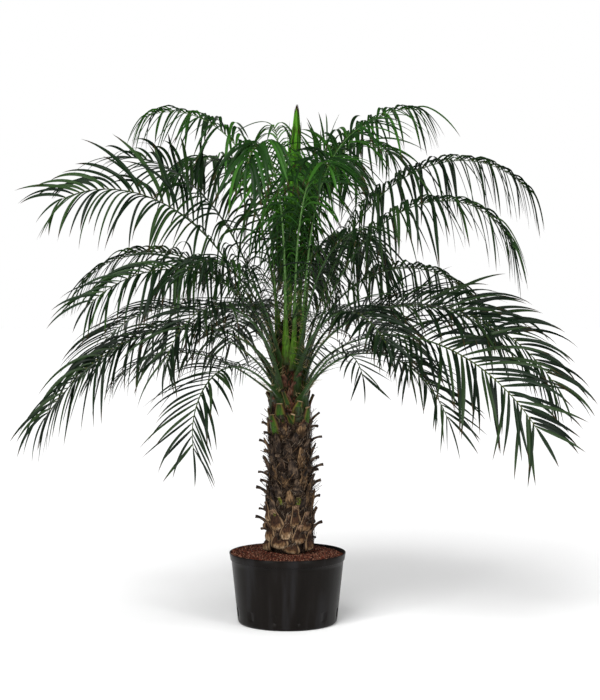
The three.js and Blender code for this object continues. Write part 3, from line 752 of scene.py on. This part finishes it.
# Stands one piece on every point, by the point's own turn and size, with a seeded spread on both
def stand_tree():
    tree = new_tree("stand_pieces", {
        "Piece": "NodeSocketObject", "Turn spread": "NodeSocketVector", "Size spread": "NodeSocketVector",
        "Seed": "NodeSocketInt", "Material": "NodeSocketMaterial",
    })
    given = add_node(tree, "NodeGroupInput").outputs
    points = add_node(tree, "GeometryNodeMeshToPoints", {"Mesh": given["Geometry"]})
    turn = add_node(tree, "GeometryNodeInputNamedAttribute", {"Name": "turn"}, data_type="FLOAT_VECTOR")
    size = add_node(tree, "GeometryNodeInputNamedAttribute", {"Name": "size"}, data_type="FLOAT_VECTOR")
    low = add_node(tree, "ShaderNodeVectorMath", {0: given["Turn spread"], "Scale": -1.0}, operation="SCALE")
    chance = add_node(tree, "FunctionNodeRandomValue", {
        "Min": low, "Max": given["Turn spread"], "Seed": given["Seed"],
    }, data_type="FLOAT_VECTOR")
    turned = add_node(tree, "ShaderNodeVectorMath", {0: turn, 1: chance}, operation="ADD")
    grow = chance_size(tree, given)
    sized = add_node(tree, "ShaderNodeVectorMath", {0: size, 1: grow}, operation="MULTIPLY")
    end_tree(tree, given, points, turned, sized)
    return tree


# Strews a piece over a surface, turned and sized by chance
def strew_tree():
    tree = new_tree("strew_granules", {
        "Piece": "NodeSocketObject", "Spacing": "NodeSocketFloat", "Density": "NodeSocketFloat",
        "Size": "NodeSocketFloat", "Size spread": "NodeSocketVector", "Seed": "NodeSocketInt",
        "Material": "NodeSocketMaterial",
    })
    given = add_node(tree, "NodeGroupInput").outputs
    points = add_node(tree, "GeometryNodeDistributePointsOnFaces", {
        "Mesh": given["Geometry"], "Distance Min": given["Spacing"], "Density Max": given["Density"],
        "Seed": given["Seed"],
    }, distribute_method="POISSON")
    turn = add_node(tree, "FunctionNodeRandomValue", {
        "Min": (0, 0, 0), "Max": (math.tau, math.tau, math.tau), "Seed": given["Seed"],
    }, data_type="FLOAT_VECTOR")
    grow = chance_size(tree, given)
    sized = add_node(tree, "ShaderNodeVectorMath", {0: grow, "Scale": given["Size"]}, operation="SCALE")
    end_tree(tree, given, points, turn, sized)
    return tree


# The plain mesh that a tree makes on an object. The object and the piece that it was made of are taken away.
def grown_piece(name, source, tree, values):
    modifier = source.modifiers.new("grow", "NODES")
    modifier.node_group = tree
    for item in tree.interface.items_tree:
        if item.in_out == "INPUT" and item.name in values:
            modifier[item.identifier] = values[item.name]
    graph = bpy.context.evaluated_depsgraph_get()
    mesh = bpy.data.meshes.new_from_object(
        source.evaluated_get(graph), preserve_all_data_layers=True, depsgraph=graph)
    mesh.name = name
    bpy.data.objects.remove(source)
    bpy.data.objects.remove(values["Piece"])
    piece = bpy.data.objects.new(name, mesh)
    bpy.context.collection.objects.link(piece)
    return piece


# Loose points that carry a turn and a size each
def point_cloud(name, places, turns, sizes):
    mesh = bpy.data.meshes.new(name)
    mesh.from_pydata(np.asarray(places).tolist(), [], [])
    for label, rows in (("turn", turns), ("size", sizes)):
        attribute = mesh.attributes.new(label, "FLOAT_VECTOR", "POINT")
        attribute.data.foreach_set("vector", np.asarray(rows, dtype=np.float32).ravel())
    cloud = bpy.data.objects.new(name, mesh)
    bpy.context.collection.objects.link(cloud)
    return cloud


# Rib of a frond: it leaves the shaft at the launch angle and bends down on its way out
def make_rib(row, rank):
    azimuth, launch, bend, curl, length, roll, droop = row
    age = rank / (len(FRONDS) - 1)
    base = mix(CROWN_TOP, CROWN_FOOT, age)
    turn = math.radians(azimuth)
    outward = np.array([math.cos(turn), math.sin(turn), 0])
    half = SEAT_DEPTH / 2
    corner = base + half * math.cos(math.radians(launch))
    seat = trunk_radius(corner) + CLEAR + half * math.sin(math.radians(launch))
    shares = np.linspace(0, 1, RIB_STEPS + 1)
    middles = np.radians(launch - bend * (shares[:-1] + 0.5 / RIB_STEPS) ** curl)
    steps = np.outer(np.cos(middles), outward) + np.outer(np.sin(middles), UP)
    start = outward * seat + np.array([TRUNK_X, 0, base])
    points = start + np.concatenate([np.zeros((1, 3)), np.cumsum(steps, axis=0)]) * length / RIB_STEPS
    return {
        "rank": rank, "age": age, "petiole": mix(PETIOLE_YOUNG, PETIOLE_OLD, age), "outward": outward,
        "base": base, "length": length, "roll": math.radians(roll), "droop": droop, "shares": shares,
        "points": points, "slopes": np.radians(launch - bend * shares ** curl),
    }


# Places on a rib: points, the way along it, its side and its upper face, turned by the roll
def rib_at(rib, share):
    share = np.asarray(share, dtype=float)
    point = np.stack([np.interp(share, rib["shares"], rib["points"][:, i]) for i in range(3)], axis=-1)
    slope = np.interp(share, rib["shares"], rib["slopes"])
    path = np.outer(np.cos(slope), rib["outward"]) + np.outer(np.sin(slope), UP)
    level = np.array([-rib["outward"][1], rib["outward"][0], 0])
    angle = rib["roll"] * np.clip(leaf_share(rib, share) / ROLL_FULL_AT, 0, 1)
    side = level * np.cos(angle)[:, None] + np.cross(path, level) * np.sin(angle)[:, None]
    return point, path, side, np.cross(path, side)


# Share of the leafy part of a rib, from 0 at its first leaflet to 1 at its tip
def leaf_share(rib, share):
    return (share - rib["petiole"]) / (1 - rib["petiole"])


# Size of the leaflets: smaller on a small frond
def leaf_growth(rib):
    return min(1, SMALL_FROND_LEAF + SMALL_FROND_GROWTH * rib["length"])


# Length of the leaflets: short at first, then full, and fading towards the tip
def leaf_length(rib, leafy):
    rise = np.minimum(1, LEAF_FIRST + (1 - LEAF_FIRST) * leafy / LEAF_FULL_AT)
    fade = np.maximum(0, (leafy - LEAF_FADE_AT) / (1 - LEAF_FADE_AT))
    return LEAF_LENGTH * leaf_growth(rib) * rise * (1 - LEAF_FADE * fade ** LEAF_FADE_POWER)


# The leaflets of one side of a rib, or the one that goes on from its tip where the hand is 0
def side_leaves(rib, hand, random):
    count = max(1, round(rib["length"] * (1 - rib["petiole"]) / LEAF_SPACING)) if hand else 1
    spread = random.uniform(-PLACE_SPREAD, PLACE_SPREAD, count)
    leafy = np.ones(1)
    if hand:
        number = np.arange(count) + 0.5 + spread + LEAF_STAGGER * hand
        leafy = np.clip(number / count, 0, 1) ** LEAF_CROWDING
    share = mix(rib["petiole"], 1, leafy)
    point, path, side, up = rib_at(rib, share)
    droop = rib["droop"] * mix(DROOP_BASE, DROOP_TIP, leafy)
    hump = np.interp(droop, HUMP_DROOPS, [0, 1])
    rise = mix(VEE_BASE, VEE_TIP, leafy) * mix(1, VEE_OLD, rib["age"]) + LEAF_LIFT * hump
    vee = np.radians(rise + random.uniform(-VEE_SPREAD, VEE_SPREAD, count))
    sweep = np.radians(SWEEP_BASE + SWEEP_RISE * leafy + random.uniform(-SWEEP_SPREAD, SWEEP_SPREAD, count))
    if hand == 0:
        sweep = np.full(1, math.pi / 2)
    way = side * (hand * np.cos(vee) * np.cos(sweep))[:, None]
    way = way + up * (np.sin(vee) * np.cos(sweep))[:, None] + path * np.sin(sweep)[:, None]
    half = along(RIB_WIDTHS, share)[:, None] / 2
    width = LEAF_WIDTH * leaf_growth(rib) * along(LEAF_SLIM, leafy)
    return {
        "root": point + side * hand * half * LEAF_ROOT, "way": way, "wide": path if hand else side,
        "turn": np.full(count, hand if hand else -1), "droop": droop, "hump": hump,
        "length": leaf_length(rib, leafy) * random.uniform(*LEAF_LENGTHS, count) * (1 if hand else END_LEAF),
        "sway": random.uniform(-LEAF_SWAY, LEAF_SWAY, count),
        "width": width * random.uniform(*LEAF_WIDTHS, count),
    }


def join_leaves(groups):
    return {key: np.concatenate([group[key] for group in groups]) for key in groups[0]}


# Folded strips, one for each leaflet, that hang by their droop and twist a little
def leaf_strips(leaves, random):
    count = len(leaves["length"])
    place = leaves["root"]
    way = unit(leaves["way"])
    wide = leaves["wide"]
    droop = leaves["droop"] * random.uniform(*LEAF_DROOPS, count)
    hump = leaves["hump"]
    turn = leaves["turn"][:, None]
    twist = np.radians(random.uniform(-LEAF_TWIST, LEAF_TWIST, count))
    sway = leaves["sway"]
    rings = []
    shares = (np.arange(LEAF_RINGS + 1) / LEAF_RINGS) ** LEAF_RING_CROWDING
    for share, step in zip(shares, np.diff(shares)):
        wide = unit(wide - way * dot(way, wide))
        face = np.cross(wide, way) * turn
        angle = (twist * share)[:, None]
        across = wide * np.cos(angle) + face * np.sin(angle)
        normal = face * np.cos(angle) - wide * np.sin(angle)
        half = (leaves["width"] * along(LEAF_OUTLINE, share))[:, None] / 2
        lift = half * math.tan(math.radians(along(LEAF_FOLD, share)))
        edge = across * half * turn
        rings.append(np.stack([
            place - edge + normal * lift, place + normal * LEAF_THICK / 2,
            place + edge + normal * lift, place - normal * LEAF_THICK / 2,
        ], axis=1))
        pull = DOWN - way * dot(way, np.broadcast_to(DOWN, way.shape))
        middle = share + step / 2
        fall = DROOP_FACTOR * mix(along(LEAF_ARC, middle), along(LEAF_HUMP, middle), hump) * step
        bend = pull * (droop * fall)[:, None] + wide * (sway * step)[:, None]
        way = unit(way + bend)
        place = place + way * (leaves["length"] * step)[:, None]
    return loft(np.stack(rings, axis=1), place)


# Section of a rib or sheath: round below, hollow above, and wrapped round the shaft where a radius is given
def rib_section(point, side, up, width, depth, radius):
    angle = np.arange(RIB_AROUND) / RIB_AROUND * math.tau
    x = np.cos(angle) * width / 2
    y = np.sin(angle)
    y = np.where(y > 0, y * (1 - RIB_GROOVE * y * y), y) * depth / 2
    if radius:
        y = y + radius - np.sqrt(radius * radius - x * x)
    return point + np.outer(x, side) + np.outer(y, up)


# Rings of a rib, from the foot of its sheath to its tip
def rib_rings(rib):
    rings = []
    level = np.array([-rib["outward"][1], rib["outward"][0], 0])
    for i in range(SHEATH_RINGS):
        share = i / SHEATH_RINGS
        height = rib["base"] - SHEATH * (1 - share)
        radius = trunk_radius(height) + SHEATH_LIFT
        point = rib["outward"] * radius + np.array([TRUNK_X, 0, height])
        width = mix(SHEATH_WIDTH, RIB_WIDTHS[0][1], share)
        depth = mix(SHEATH_THICK, RIB_DEPTHS[0][1], share)
        rings.append(rib_section(point, level, -rib["outward"], width, depth, radius))
    shares = np.linspace(0, 1, RIB_RINGS) ** RIB_CROWDING
    point, path, side, up = rib_at(rib, shares)
    for i, share in enumerate(shares):
        rings.append(rib_section(
            point[i], side[i], up[i], along(RIB_WIDTHS, share), along(RIB_DEPTHS, share), None))
    return np.stack(rings), point[-1] + path[-1] * RIB_WIDTHS[-1][1]


# Some of the ribs as one piece
def make_ribs(name, ribs, material):
    made = [rib_rings(rib) for rib in ribs]
    shape = loft(np.stack([rings for rings, _ in made]), np.stack([tip for _, tip in made]))
    return new_piece(name, shape, material)


# Spines along both edges of the petioles
def make_spines(ribs, tree, material):
    random = np.random.default_rng(SPINE_SEED)
    places = []
    turns = []
    sizes = []
    for rib in ribs:
        count = round(rib["length"] * (SPINE_SHARES[1] - SPINE_SHARES[0]) / SPINE_PITCH)
        for hand in (1, -1):
            share = np.sort(random.uniform(*SPINE_SHARES, count))
            point, path, side, up = rib_at(rib, share)
            rise = np.radians(SPINE_RISE + random.uniform(-SPINE_SPREAD, SPINE_SPREAD, count))[:, None]
            lean = np.radians(random.uniform(-SPINE_SPREAD, SPINE_SPREAD, count))[:, None]
            way = side * hand * np.cos(rise) * np.cos(lean) + path * np.sin(rise) + up * np.sin(lean)
            half = along(RIB_WIDTHS, share)[:, None] / 2
            places.append(point + side * hand * half * SPINE_ROOT)
            turns += [Vector(row).to_track_quat("Z", "Y").to_euler()[:] for row in way]
            length = random.uniform(*SPINE_LENGTHS, count)
            sizes.append(np.stack([np.full(count, SPINE_THICK), np.full(count, SPINE_THICK), length], axis=1))
    cloud = point_cloud("spine_points", np.concatenate(places), turns, np.concatenate(sizes))
    return grown_piece("spines", cloud, tree, {
        "Piece": unit_spine(), "Turn spread": (0, 0, 0), "Size spread": SPINE_SIZES, "Seed": SPINE_SEED,
        "Material": material,
    })


# A spine one unit long and one across at its foot
def unit_spine():
    angle = np.arange(SPINE_AROUND) / SPINE_AROUND * math.tau
    foot = np.stack([np.cos(angle), np.sin(angle), np.zeros(SPINE_AROUND)], axis=1) / 2
    height, width = SPINE_WAIST
    rings = np.stack([foot, foot * width + UP * height])
    return new_piece("spine", loft(rings[None], UP[None]))


# Points on the spear's axis, and the two ways across it
def spear_axis(share):
    foot = np.array(SPEAR_FOOT)
    tip = np.array(SPEAR_TIP)
    path = unit(tip - foot)
    away = unit(np.cross(path, np.array([1.0, 0, 0])))
    return foot + np.multiply.outer(share, tip - foot), np.cross(away, path), away


# Spear leaf: leaflets folded close round a stiff upright rib, closing to a point
def make_spear(materials):
    random = np.random.default_rng(SPEAR_SEED)
    start = np.linspace(*SPEAR_STARTS, SPEAR_LEAVES)
    end = np.minimum(start + random.uniform(*SPEAR_REACH, SPEAR_LEAVES), 1)
    angle = np.arange(SPEAR_LEAVES) * GOLDEN_ANGLE
    low, side, away = spear_axis(start)
    high, _, _ = spear_axis(end)
    out = np.outer(np.cos(angle), side) + np.outer(np.sin(angle), away)
    root = low + out * along(SPEAR_GIRTH, start)[:, None] / 2
    splay = random.uniform(*SPEAR_SPLAY, SPEAR_LEAVES)
    reach = high + out * (splay * along(SPEAR_GIRTH, end))[:, None] - root
    none = np.zeros(SPEAR_LEAVES)
    leaves = {
        "root": root, "way": reach, "wide": np.cross(reach, out), "turn": np.ones(SPEAR_LEAVES),
        "droop": none, "hump": none, "length": np.linalg.norm(reach, axis=1),
        "sway": random.uniform(-SPEAR_SWAY, SPEAR_SWAY, SPEAR_LEAVES),
        "width": LEAF_WIDTH * random.uniform(*LEAF_WIDTHS, SPEAR_LEAVES),
    }
    pieces = []
    for i, material in enumerate(materials):
        picked = {key: rows[i::len(materials)] for key, rows in leaves.items()}
        shape = leaf_strips(picked, random)
        pieces.append(new_piece("spear_leaflets_%d" % (i + 1), shape, material, creased=True))
    return pieces


# Round rib inside the spear leaf
def make_spear_rib(material):
    share = np.linspace(0, SPEAR_RIB[-1][0], SPEAR_RINGS)
    angle = np.arange(RIB_AROUND) / RIB_AROUND * math.tau
    middle, side, away = spear_axis(share)
    circle = np.outer(np.cos(angle), side) + np.outer(np.sin(angle), away)
    rings = middle[:, None] + circle * along(SPEAR_RIB, share)[:, None, None]
    return new_piece("spear_rib", loft(rings[None], np.array([SPEAR_TIP])), material)


# Trunk core: the profile set in, with seeded waves for its matted relief
def make_core(material):
    random = np.random.default_rng(FIBRE_SEED)
    heights = np.linspace(TRUNK_FOOT, TRUNK_PROFILE[-1][0], CORE_ROWS)
    angle = np.arange(CORE_COLUMNS) / CORE_COLUMNS * math.tau
    relief = np.zeros((CORE_ROWS, CORE_COLUMNS))
    for _ in range(CORE_WAVES):
        round_count = random.integers(*CORE_WAVE_COUNTS)
        rise = random.uniform(-CORE_WAVE_RISE, CORE_WAVE_RISE)
        phase = random.uniform(0, math.tau)
        relief += np.sin(angle[None] * round_count + heights[:, None] * rise + phase)
    relief *= CORE_RELIEF / math.sqrt(CORE_WAVES / 2)
    radius = trunk_radius(heights)[:, None] - along(CORE_INSETS, heights)[:, None] + relief
    level = np.broadcast_to(heights[:, None], radius.shape)
    rings = np.stack([TRUNK_X + radius * np.cos(angle), radius * np.sin(angle), level], axis=-1)
    top = np.array([[TRUNK_X, 0, TRUNK_PROFILE[-1][0] + CORE_TIP]])
    return new_piece("trunk_core", loft(rings[None], top), material)


# A leaf base in its own space: out along +Y, up along +Z, its edges wrapped round the trunk
def make_base(name, rows):
    rows = np.array(rows, dtype=float) * MM
    middles = np.stack([np.zeros(len(rows)), rows[:, 1], rows[:, 0]], axis=1)
    ways = unit(np.gradient(middles, axis=0))
    side = np.array([1.0, 0, 0])
    out = np.array([0, 1.0, 0])
    angle = np.arange(BASE_AROUND) / BASE_AROUND * math.tau
    rings = []
    for middle, way, row in zip(middles, ways, rows):
        x = np.cos(angle) * row[2] / 2
        y = np.sin(angle) * row[3] / 2
        wrap = x * x / (2 * BASE_WRAP)
        rings.append(middle + np.outer(x, side) + np.outer(y, np.cross(way, side)) - np.outer(wrap, out))
    return new_piece(name, loft(np.stack(rings)[None], middles[-1][None]))


# Points by height and way round the trunk, lifted off its profile, with turns that face them outwards, lean
# them inwards and tilt them sideways, in radians
def trunk_points(heights, azimuths, lift, lean, tilt=0):
    radius = trunk_radius(heights) + lift
    places = np.stack([TRUNK_X + radius * np.cos(azimuths), radius * np.sin(azimuths), heights], axis=1)
    turns = np.stack(np.broadcast_arrays(lean, tilt, azimuths - math.pi / 2), axis=1)
    return places, turns


# Stands one shape on points of the trunk
def stand_bases(name, shape, places, turns, size, tree, material, seed):
    cloud = point_cloud(name + "_points", places, turns, np.full((len(places), 3), size))
    return grown_piece(name, cloud, tree, {
        "Piece": make_base(name + "_one", shape), "Turn spread": BASE_TURNS, "Size spread": BASE_SIZES,
        "Seed": seed, "Material": material,
    })


# Every kind of leaf base, on its share of the spiral's places
def make_bases(tree, finishes):
    random = np.random.default_rng(BASE_SEED)
    number = np.arange(int((BASE_TOP - BASE_FOOT) / BASE_STEP))
    heights = BASE_FOOT + number * BASE_STEP
    azimuths = number * GOLDEN_ANGLE
    pieces = []
    for seed, (name, (shape, low, high, share, lean)) in enumerate(BASE_KINDS.items()):
        taken = (heights >= low) & (heights < high) & (random.random(len(number)) < share)
        places, turns = trunk_points(heights[taken], azimuths[taken], -CORE_INSET, -math.radians(lean))
        pieces.append(stand_bases(name, shape, places, turns, 1, tree, finishes[name], seed))
    azimuths, heights = np.array(REMNANTS).T
    places, turns = trunk_points(heights, np.radians(azimuths), -CORE_INSET, 0)
    finish = finishes["green_remnants"]
    pieces.append(stand_bases("green_remnants", GREEN, places, turns, REMNANT_SIZE, tree, finish, BASE_SEED))
    return pieces


# A fibre in its own space: upright, bowed to lie round the trunk
def make_fibre(name, width, thick, length):
    bow = np.linspace(-1, 1, FIBRE_RINGS)
    middles = np.stack([np.zeros(FIBRE_RINGS), -bow ** 2 * FIBRE_BOW, bow / 2], axis=1) * length
    angle = np.arange(FIBRE_AROUND) / FIBRE_AROUND * math.tau
    section = np.stack([np.cos(angle) * width / 2, np.sin(angle) * thick / 2, np.zeros(FIBRE_AROUND)], axis=1)
    return new_piece(name, loft((middles[:, None] + section)[None], middles[-1][None]))


# Fibres that lie over the trunk or stand off it, crossing each other
def make_fibres(name, row, tree, seed):
    count, low, high, lift, width, thick, length, lean, stand, deep, pale = row
    random = np.random.default_rng(seed)
    heights = random.uniform(low, high, count)
    azimuths = random.uniform(0, math.tau, count)
    lifts = random.uniform(-FIBRE_DEPTH, lift, count) * MM
    leans = np.radians(random.uniform(-stand, FIBRE_TUCK, count))
    tilts = random.uniform(-math.radians(lean), math.radians(lean), count)
    places, turns = trunk_points(heights, azimuths, lifts, leans, tilts)
    cloud = point_cloud(name + "_points", places, turns, np.ones((count, 3)))
    return grown_piece(name, cloud, tree, {
        "Piece": make_fibre(name + "_one", width * MM, thick * MM, length * MM), "Turn spread": FIBRE_TURNS,
        "Size spread": FIBRE_SIZES, "Seed": seed, "Material": fibre(name, deep, pale),
    })


# Radii and heights of the pot's skin, from the middle of its underside over the rim to the inside
def pot_profile():
    flat = POT_FOOT_RADIUS - POT_CORNER
    rows = [[POT_FOOT_RING, POT_FOOT_RISE], [POT_FOOT_RING + POT_FOOT_SLOPE, 0], [flat, 0]]
    for i in range(1, POT_CORNER_ROWS + 1):
        angle = i / POT_CORNER_ROWS * math.pi / 2
        rows.append([flat + POT_CORNER * math.sin(angle), POT_CORNER - POT_CORNER * math.cos(angle)])
    slot_top = SLOT_FOOT + SLOT_HEIGHT
    slot = [SLOT_FOOT, SLOT_FOOT + SLOT_EDGE, slot_top - SLOT_EDGE, slot_top]
    for level in sorted(set(slot + list(np.linspace(POT_CORNER, POT_STEP, POT_WALL_ROWS)[1:]))):
        share = (level - POT_CORNER) / (POT_STEP - POT_CORNER)
        rows.append([mix(POT_FOOT_RADIUS, POT_STEP_RADIUS, share), level])
    band = POT_STEP_RADIUS + POT_STEP_OUT
    rows += [[band + out * MM, POT_STEP + up * MM] for out, up in POT_BAND_EDGE]
    rows += [[POT_RIM_RADIUS + out * MM, POT_HEIGHT + up * MM] for out, up in POT_RIM_EDGE]
    rows += [[POT_STEP_RADIUS - POT_WALL, POT_STEP], [POT_STEP_RADIUS - 2 * POT_WALL, POT_INSIDE]]
    return np.array(rows)


# Pot: one skin with its slots pressed in
def make_pot(material):
    profile = pot_profile()
    half = SLOT_WIDTH / 2 / POT_FOOT_RADIUS
    edge = SLOT_EDGE / POT_FOOT_RADIUS
    sector = math.tau / SLOT_COUNT
    plain = np.linspace(half + edge, sector - half - edge, SECTOR_COLUMNS)
    local = np.concatenate([[-half, half], plain])
    angle = np.concatenate([local + (i + 0.5) * sector for i in range(SLOT_COUNT)])
    pressed = np.tile(np.concatenate([[True, True], np.zeros(SECTOR_COLUMNS, dtype=bool)]), SLOT_COUNT)
    radius = np.repeat(profile[:, :1], len(angle), axis=1)
    height = np.repeat(profile[:, 1:], len(angle), axis=1)
    inside_slot = (profile[:, 1] > SLOT_FOOT) & (profile[:, 1] < SLOT_FOOT + SLOT_HEIGHT)
    radius[np.ix_(inside_slot, pressed)] -= SLOT_DEPTH
    rings = np.stack([radius * np.cos(angle), radius * np.sin(angle), height], axis=-1)
    foot = np.array([[0, 0, POT_FOOT_RISE]])
    shape = loft(rings[None], np.array([[0, 0, POT_INSIDE]]), foot)
    return new_piece("pot_skin", shape, material)


# Ground that the granules lie on, mounded under the trunk
def make_bed(material):
    random = np.random.default_rng(GRANULE_SEEDS[0])
    radius = np.linspace(FILL_RADIUS, FILL_INNER_RADIUS, FILL_RINGS)
    angle = np.arange(FILL_COLUMNS) / FILL_COLUMNS * math.tau
    slope = [[0, FILL_MOUND], [FILL_MOUND_RADIUS, FILL_MOUND], [FILL_RADIUS, FILL_EDGE]]
    level = along(slope, radius) - FILL_SUNK
    rough = random.uniform(-FILL_ROUGH, FILL_ROUGH, (FILL_RINGS, FILL_COLUMNS)) / 2
    heap = np.outer(radius / FILL_RADIUS, np.cos(angle - FILL_HEAP_WAY)) * FILL_HEAP
    rings = np.stack([
        radius[:, None] * np.cos(angle), radius[:, None] * np.sin(angle), level[:, None] + rough + heap,
    ], axis=-1)
    shape = loft(rings[None], np.array([[0, 0, FILL_MOUND]]))
    return new_piece("clay_bed", shape, material)


# A rough pebble about one unit across, of few faces
def make_pebble():
    random = np.random.default_rng(GRANULE_SEEDS[1])
    angle = np.arange(PEBBLE_AROUND) / PEBBLE_AROUND * math.tau
    rings = []
    for level in PEBBLE_LEVELS:
        reach = math.sqrt(PEBBLE_RADIUS * PEBBLE_RADIUS - level * level)
        reach = reach * random.uniform(*PEBBLE_ROUGH, PEBBLE_AROUND)
        around = [reach * np.cos(angle), reach * np.sin(angle), np.full(PEBBLE_AROUND, level)]
        rings.append(np.stack(around, axis=1))
    return new_piece("pebble", loft(np.stack(rings)[None], UP[None] * PEBBLE_TIP, UP[None] * PEBBLE_FOOT))


# Granules of every clay, each strewn over a bed of its own
def make_granules(tree, clays, painted_shade_bed):
    pieces = []
    for seed, clay in zip(GRANULE_SEEDS, clays):
        pieces.append(grown_piece("granules_" + clay.name, make_bed(painted_shade_bed), tree, {
            "Piece": make_pebble(), "Spacing": GRANULE_SPACING, "Density": GRANULE_DENSITY,
            "Size": GRANULE_SIZE, "Size spread": GRANULE_SPREAD, "Seed": seed, "Material": clay,
        }))
    return pieces


# Names of the solids that these fronds have, whole or split in two
def frond_nodes(ribs):
    starts = ["frond_%02d" % (rib["rank"] + 1) for rib in ribs]
    return [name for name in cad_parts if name[:len(starts[0])] in starts]


# Leaflets of all the fronds, a piece for each age and green, with the fronds that it stands for
def make_foliage(ribs):
    random = np.random.default_rng(LEAF_SEED)
    pieces = []
    first = 0
    for age, (last, greens) in LEAF_AGES.items():
        group = ribs[first:last]
        leaves = join_leaves([side_leaves(rib, hand, random) for rib in group for hand in (1, -1, 0)])
        tint = random.integers(0, len(greens), len(leaves["length"]))
        for i, green in enumerate(greens):
            picked = {key: rows[tint == i] for key, rows in leaves.items()}
            material = leaf_skin("leaf_skin_%s_%d" % (age, i + 1), green)
            name = "leaflets_%s_%d" % (age, i + 1)
            pieces.append((new_piece(name, leaf_strips(picked, random), material, creased=True), group))
        first = last
    return pieces


# White floor, which is no part of the plant
def set_stage():
    material, _, shader = start_material("floor_paint", roughness=0.9, specular=0.0)
    shader.inputs["Base Color"].default_value = linear(FLOOR_COLOUR)
    bpy.ops.mesh.primitive_plane_add(size=FLOOR_SIZE)
    floor = bpy.context.object
    floor.name = "floor"
    floor.data.materials.append(material)


# Surround, suns and soft boxes; of the suns, only the key shows as a gloss
def set_light():
    world = bpy.data.worlds.new("studio")
    world.use_nodes = True
    tree = world.node_tree
    ray = add_node(tree, "ShaderNodeLightPath").outputs
    dim = add_node(tree, "ShaderNodeMix", {"Factor": ray["Is Glossy Ray"], "A": SKY_LIGHT, "B": SKY_GLOSS})
    seen = add_node(tree, "ShaderNodeMix", {"Factor": ray["Is Camera Ray"], "A": dim, "B": 1.0})
    sky = tree.nodes["Background"]
    sky.inputs["Color"].default_value = (1, 1, 1, 1)
    tree.links.new(seen.outputs["Result"], sky.inputs["Strength"])
    bpy.context.scene.world = world
    for name, way, power, spread in SUNS:
        lamp = bpy.data.lights.new(name, "SUN")
        lamp.energy = power
        lamp.angle = math.radians(spread)
        holder = bpy.data.objects.new(name, lamp)
        holder.rotation_euler = Vector(way).to_track_quat("Z", "Y").to_euler()
        holder.visible_glossy = name == "key"
        bpy.context.collection.objects.link(holder)
    for name, place, size, power in SOFT_BOXES:
        lamp = bpy.data.lights.new(name, "AREA")
        lamp.shape = "RECTANGLE"
        lamp.size = size[0]
        lamp.size_y = size[1]
        lamp.energy = power
        holder = bpy.data.objects.new(name, lamp)
        holder.location = place
        holder.rotation_euler = (Vector((0, 0, place[2])) - Vector(place)).to_track_quat("-Z", "Y").to_euler()
        bpy.context.collection.objects.link(holder)
    bpy.context.scene.view_settings.view_transform = "Standard"


def set_camera():
    lens = bpy.data.cameras.new("camera")
    lens.lens = CAMERA_LENS
    camera = bpy.data.objects.new("camera", lens)
    camera.location = CAMERA_PLACE
    camera.rotation_euler = (math.radians(90 - CAMERA_PITCH), 0, 0)
    bpy.context.collection.objects.link(camera)
    bpy.context.scene.camera = camera


# Every piece, handed over with the solids that it stands for
def build():
    stand = stand_tree()
    hand_over(make_pot(moulded_plastic()), "pot_plastic", "pot")
    # The bed's dark clay is painted shade, seen in the gaps between the granules
    bed = fired_clay("fired_clay_bed", *BED_PAINTED_SHADE)
    clays = [fired_clay("fired_clay_" + tone, *colours) for tone, colours in CLAYS.items()]
    hand_over(make_bed(bed), "clay_granules", "clay_fill")
    for piece in make_granules(strew_tree(), clays, bed):
        hand_over(piece, "clay_granules", "clay_fill")
    hand_over(make_core(fibre_mat()), "trunk_bark", "trunk")
    dark = dead_tissue("weathered_leaf_base", "#0f0a08", "#2a2019", "#5a4a3b")
    green = green_base("green_leaf_base", "#20400a", "#3f6a10", "#9c8466")
    swollen = swollen_base()
    finishes = {
        "foot_scales": swollen, "foot_bulbs": swollen, "foot_pegs": dark, "dark_wedges": dark, "pegs": dark,
        "tan_wedges": dead_tissue("dry_leaf_base", "#1f150d", "#46331f", "#7a6146"),
        "green_bases": green, "green_stalks": green_base("green_leaf_stalk", "#1a2d0d", "#2a4614", "#1a120c"),
        "green_remnants": green_base("fading_leaf_base", "#4a5a1c", "#7c8a34", "#9c8a62"),
        "papery_flaps": dead_tissue("papery_leaf_sheath", "#1c0f0b", "#3c2218", "#664a3a"),
    }
    for piece in make_bases(stand, finishes):
        hand_over(piece, "trunk_bark", "trunk")
    for seed, (name, row) in enumerate(FIBRES.items(), FIBRE_SEED):
        hand_over(make_fibres(name, row, stand, seed), "trunk_bark", "trunk")
    ribs = [make_rib(row, rank) for rank, row in enumerate(FRONDS)]
    fresh = petiole_skin("fresh_petiole_skin", "#4a7019", "#5f8748")
    old = petiole_skin("petiole_skin", "#243c12", "#3a5630")
    for name, group, skin in (("fresh_ribs", ribs[:FRESH_RIBS], fresh), ("ribs", ribs[FRESH_RIBS:], old)):
        hand_over(make_ribs(name, group, skin), "frond_green", *frond_nodes(group))
    hand_over(make_spines(ribs, stand, spine_horn()), "frond_green", *frond_nodes(ribs))
    for piece, group in make_foliage(ribs):
        hand_over(piece, "frond_green", *frond_nodes(group))
    skins = [leaf_skin("leaf_skin_spear_%d" % (i + 1), green) for i, green in enumerate(SPEAR_GREENS)]
    for piece in make_spear(skins) + [make_spear_rib(skins[0])]:
        hand_over(piece, "spear_green", "spear_leaf")


build()
set_stage()
set_light()
set_camera()
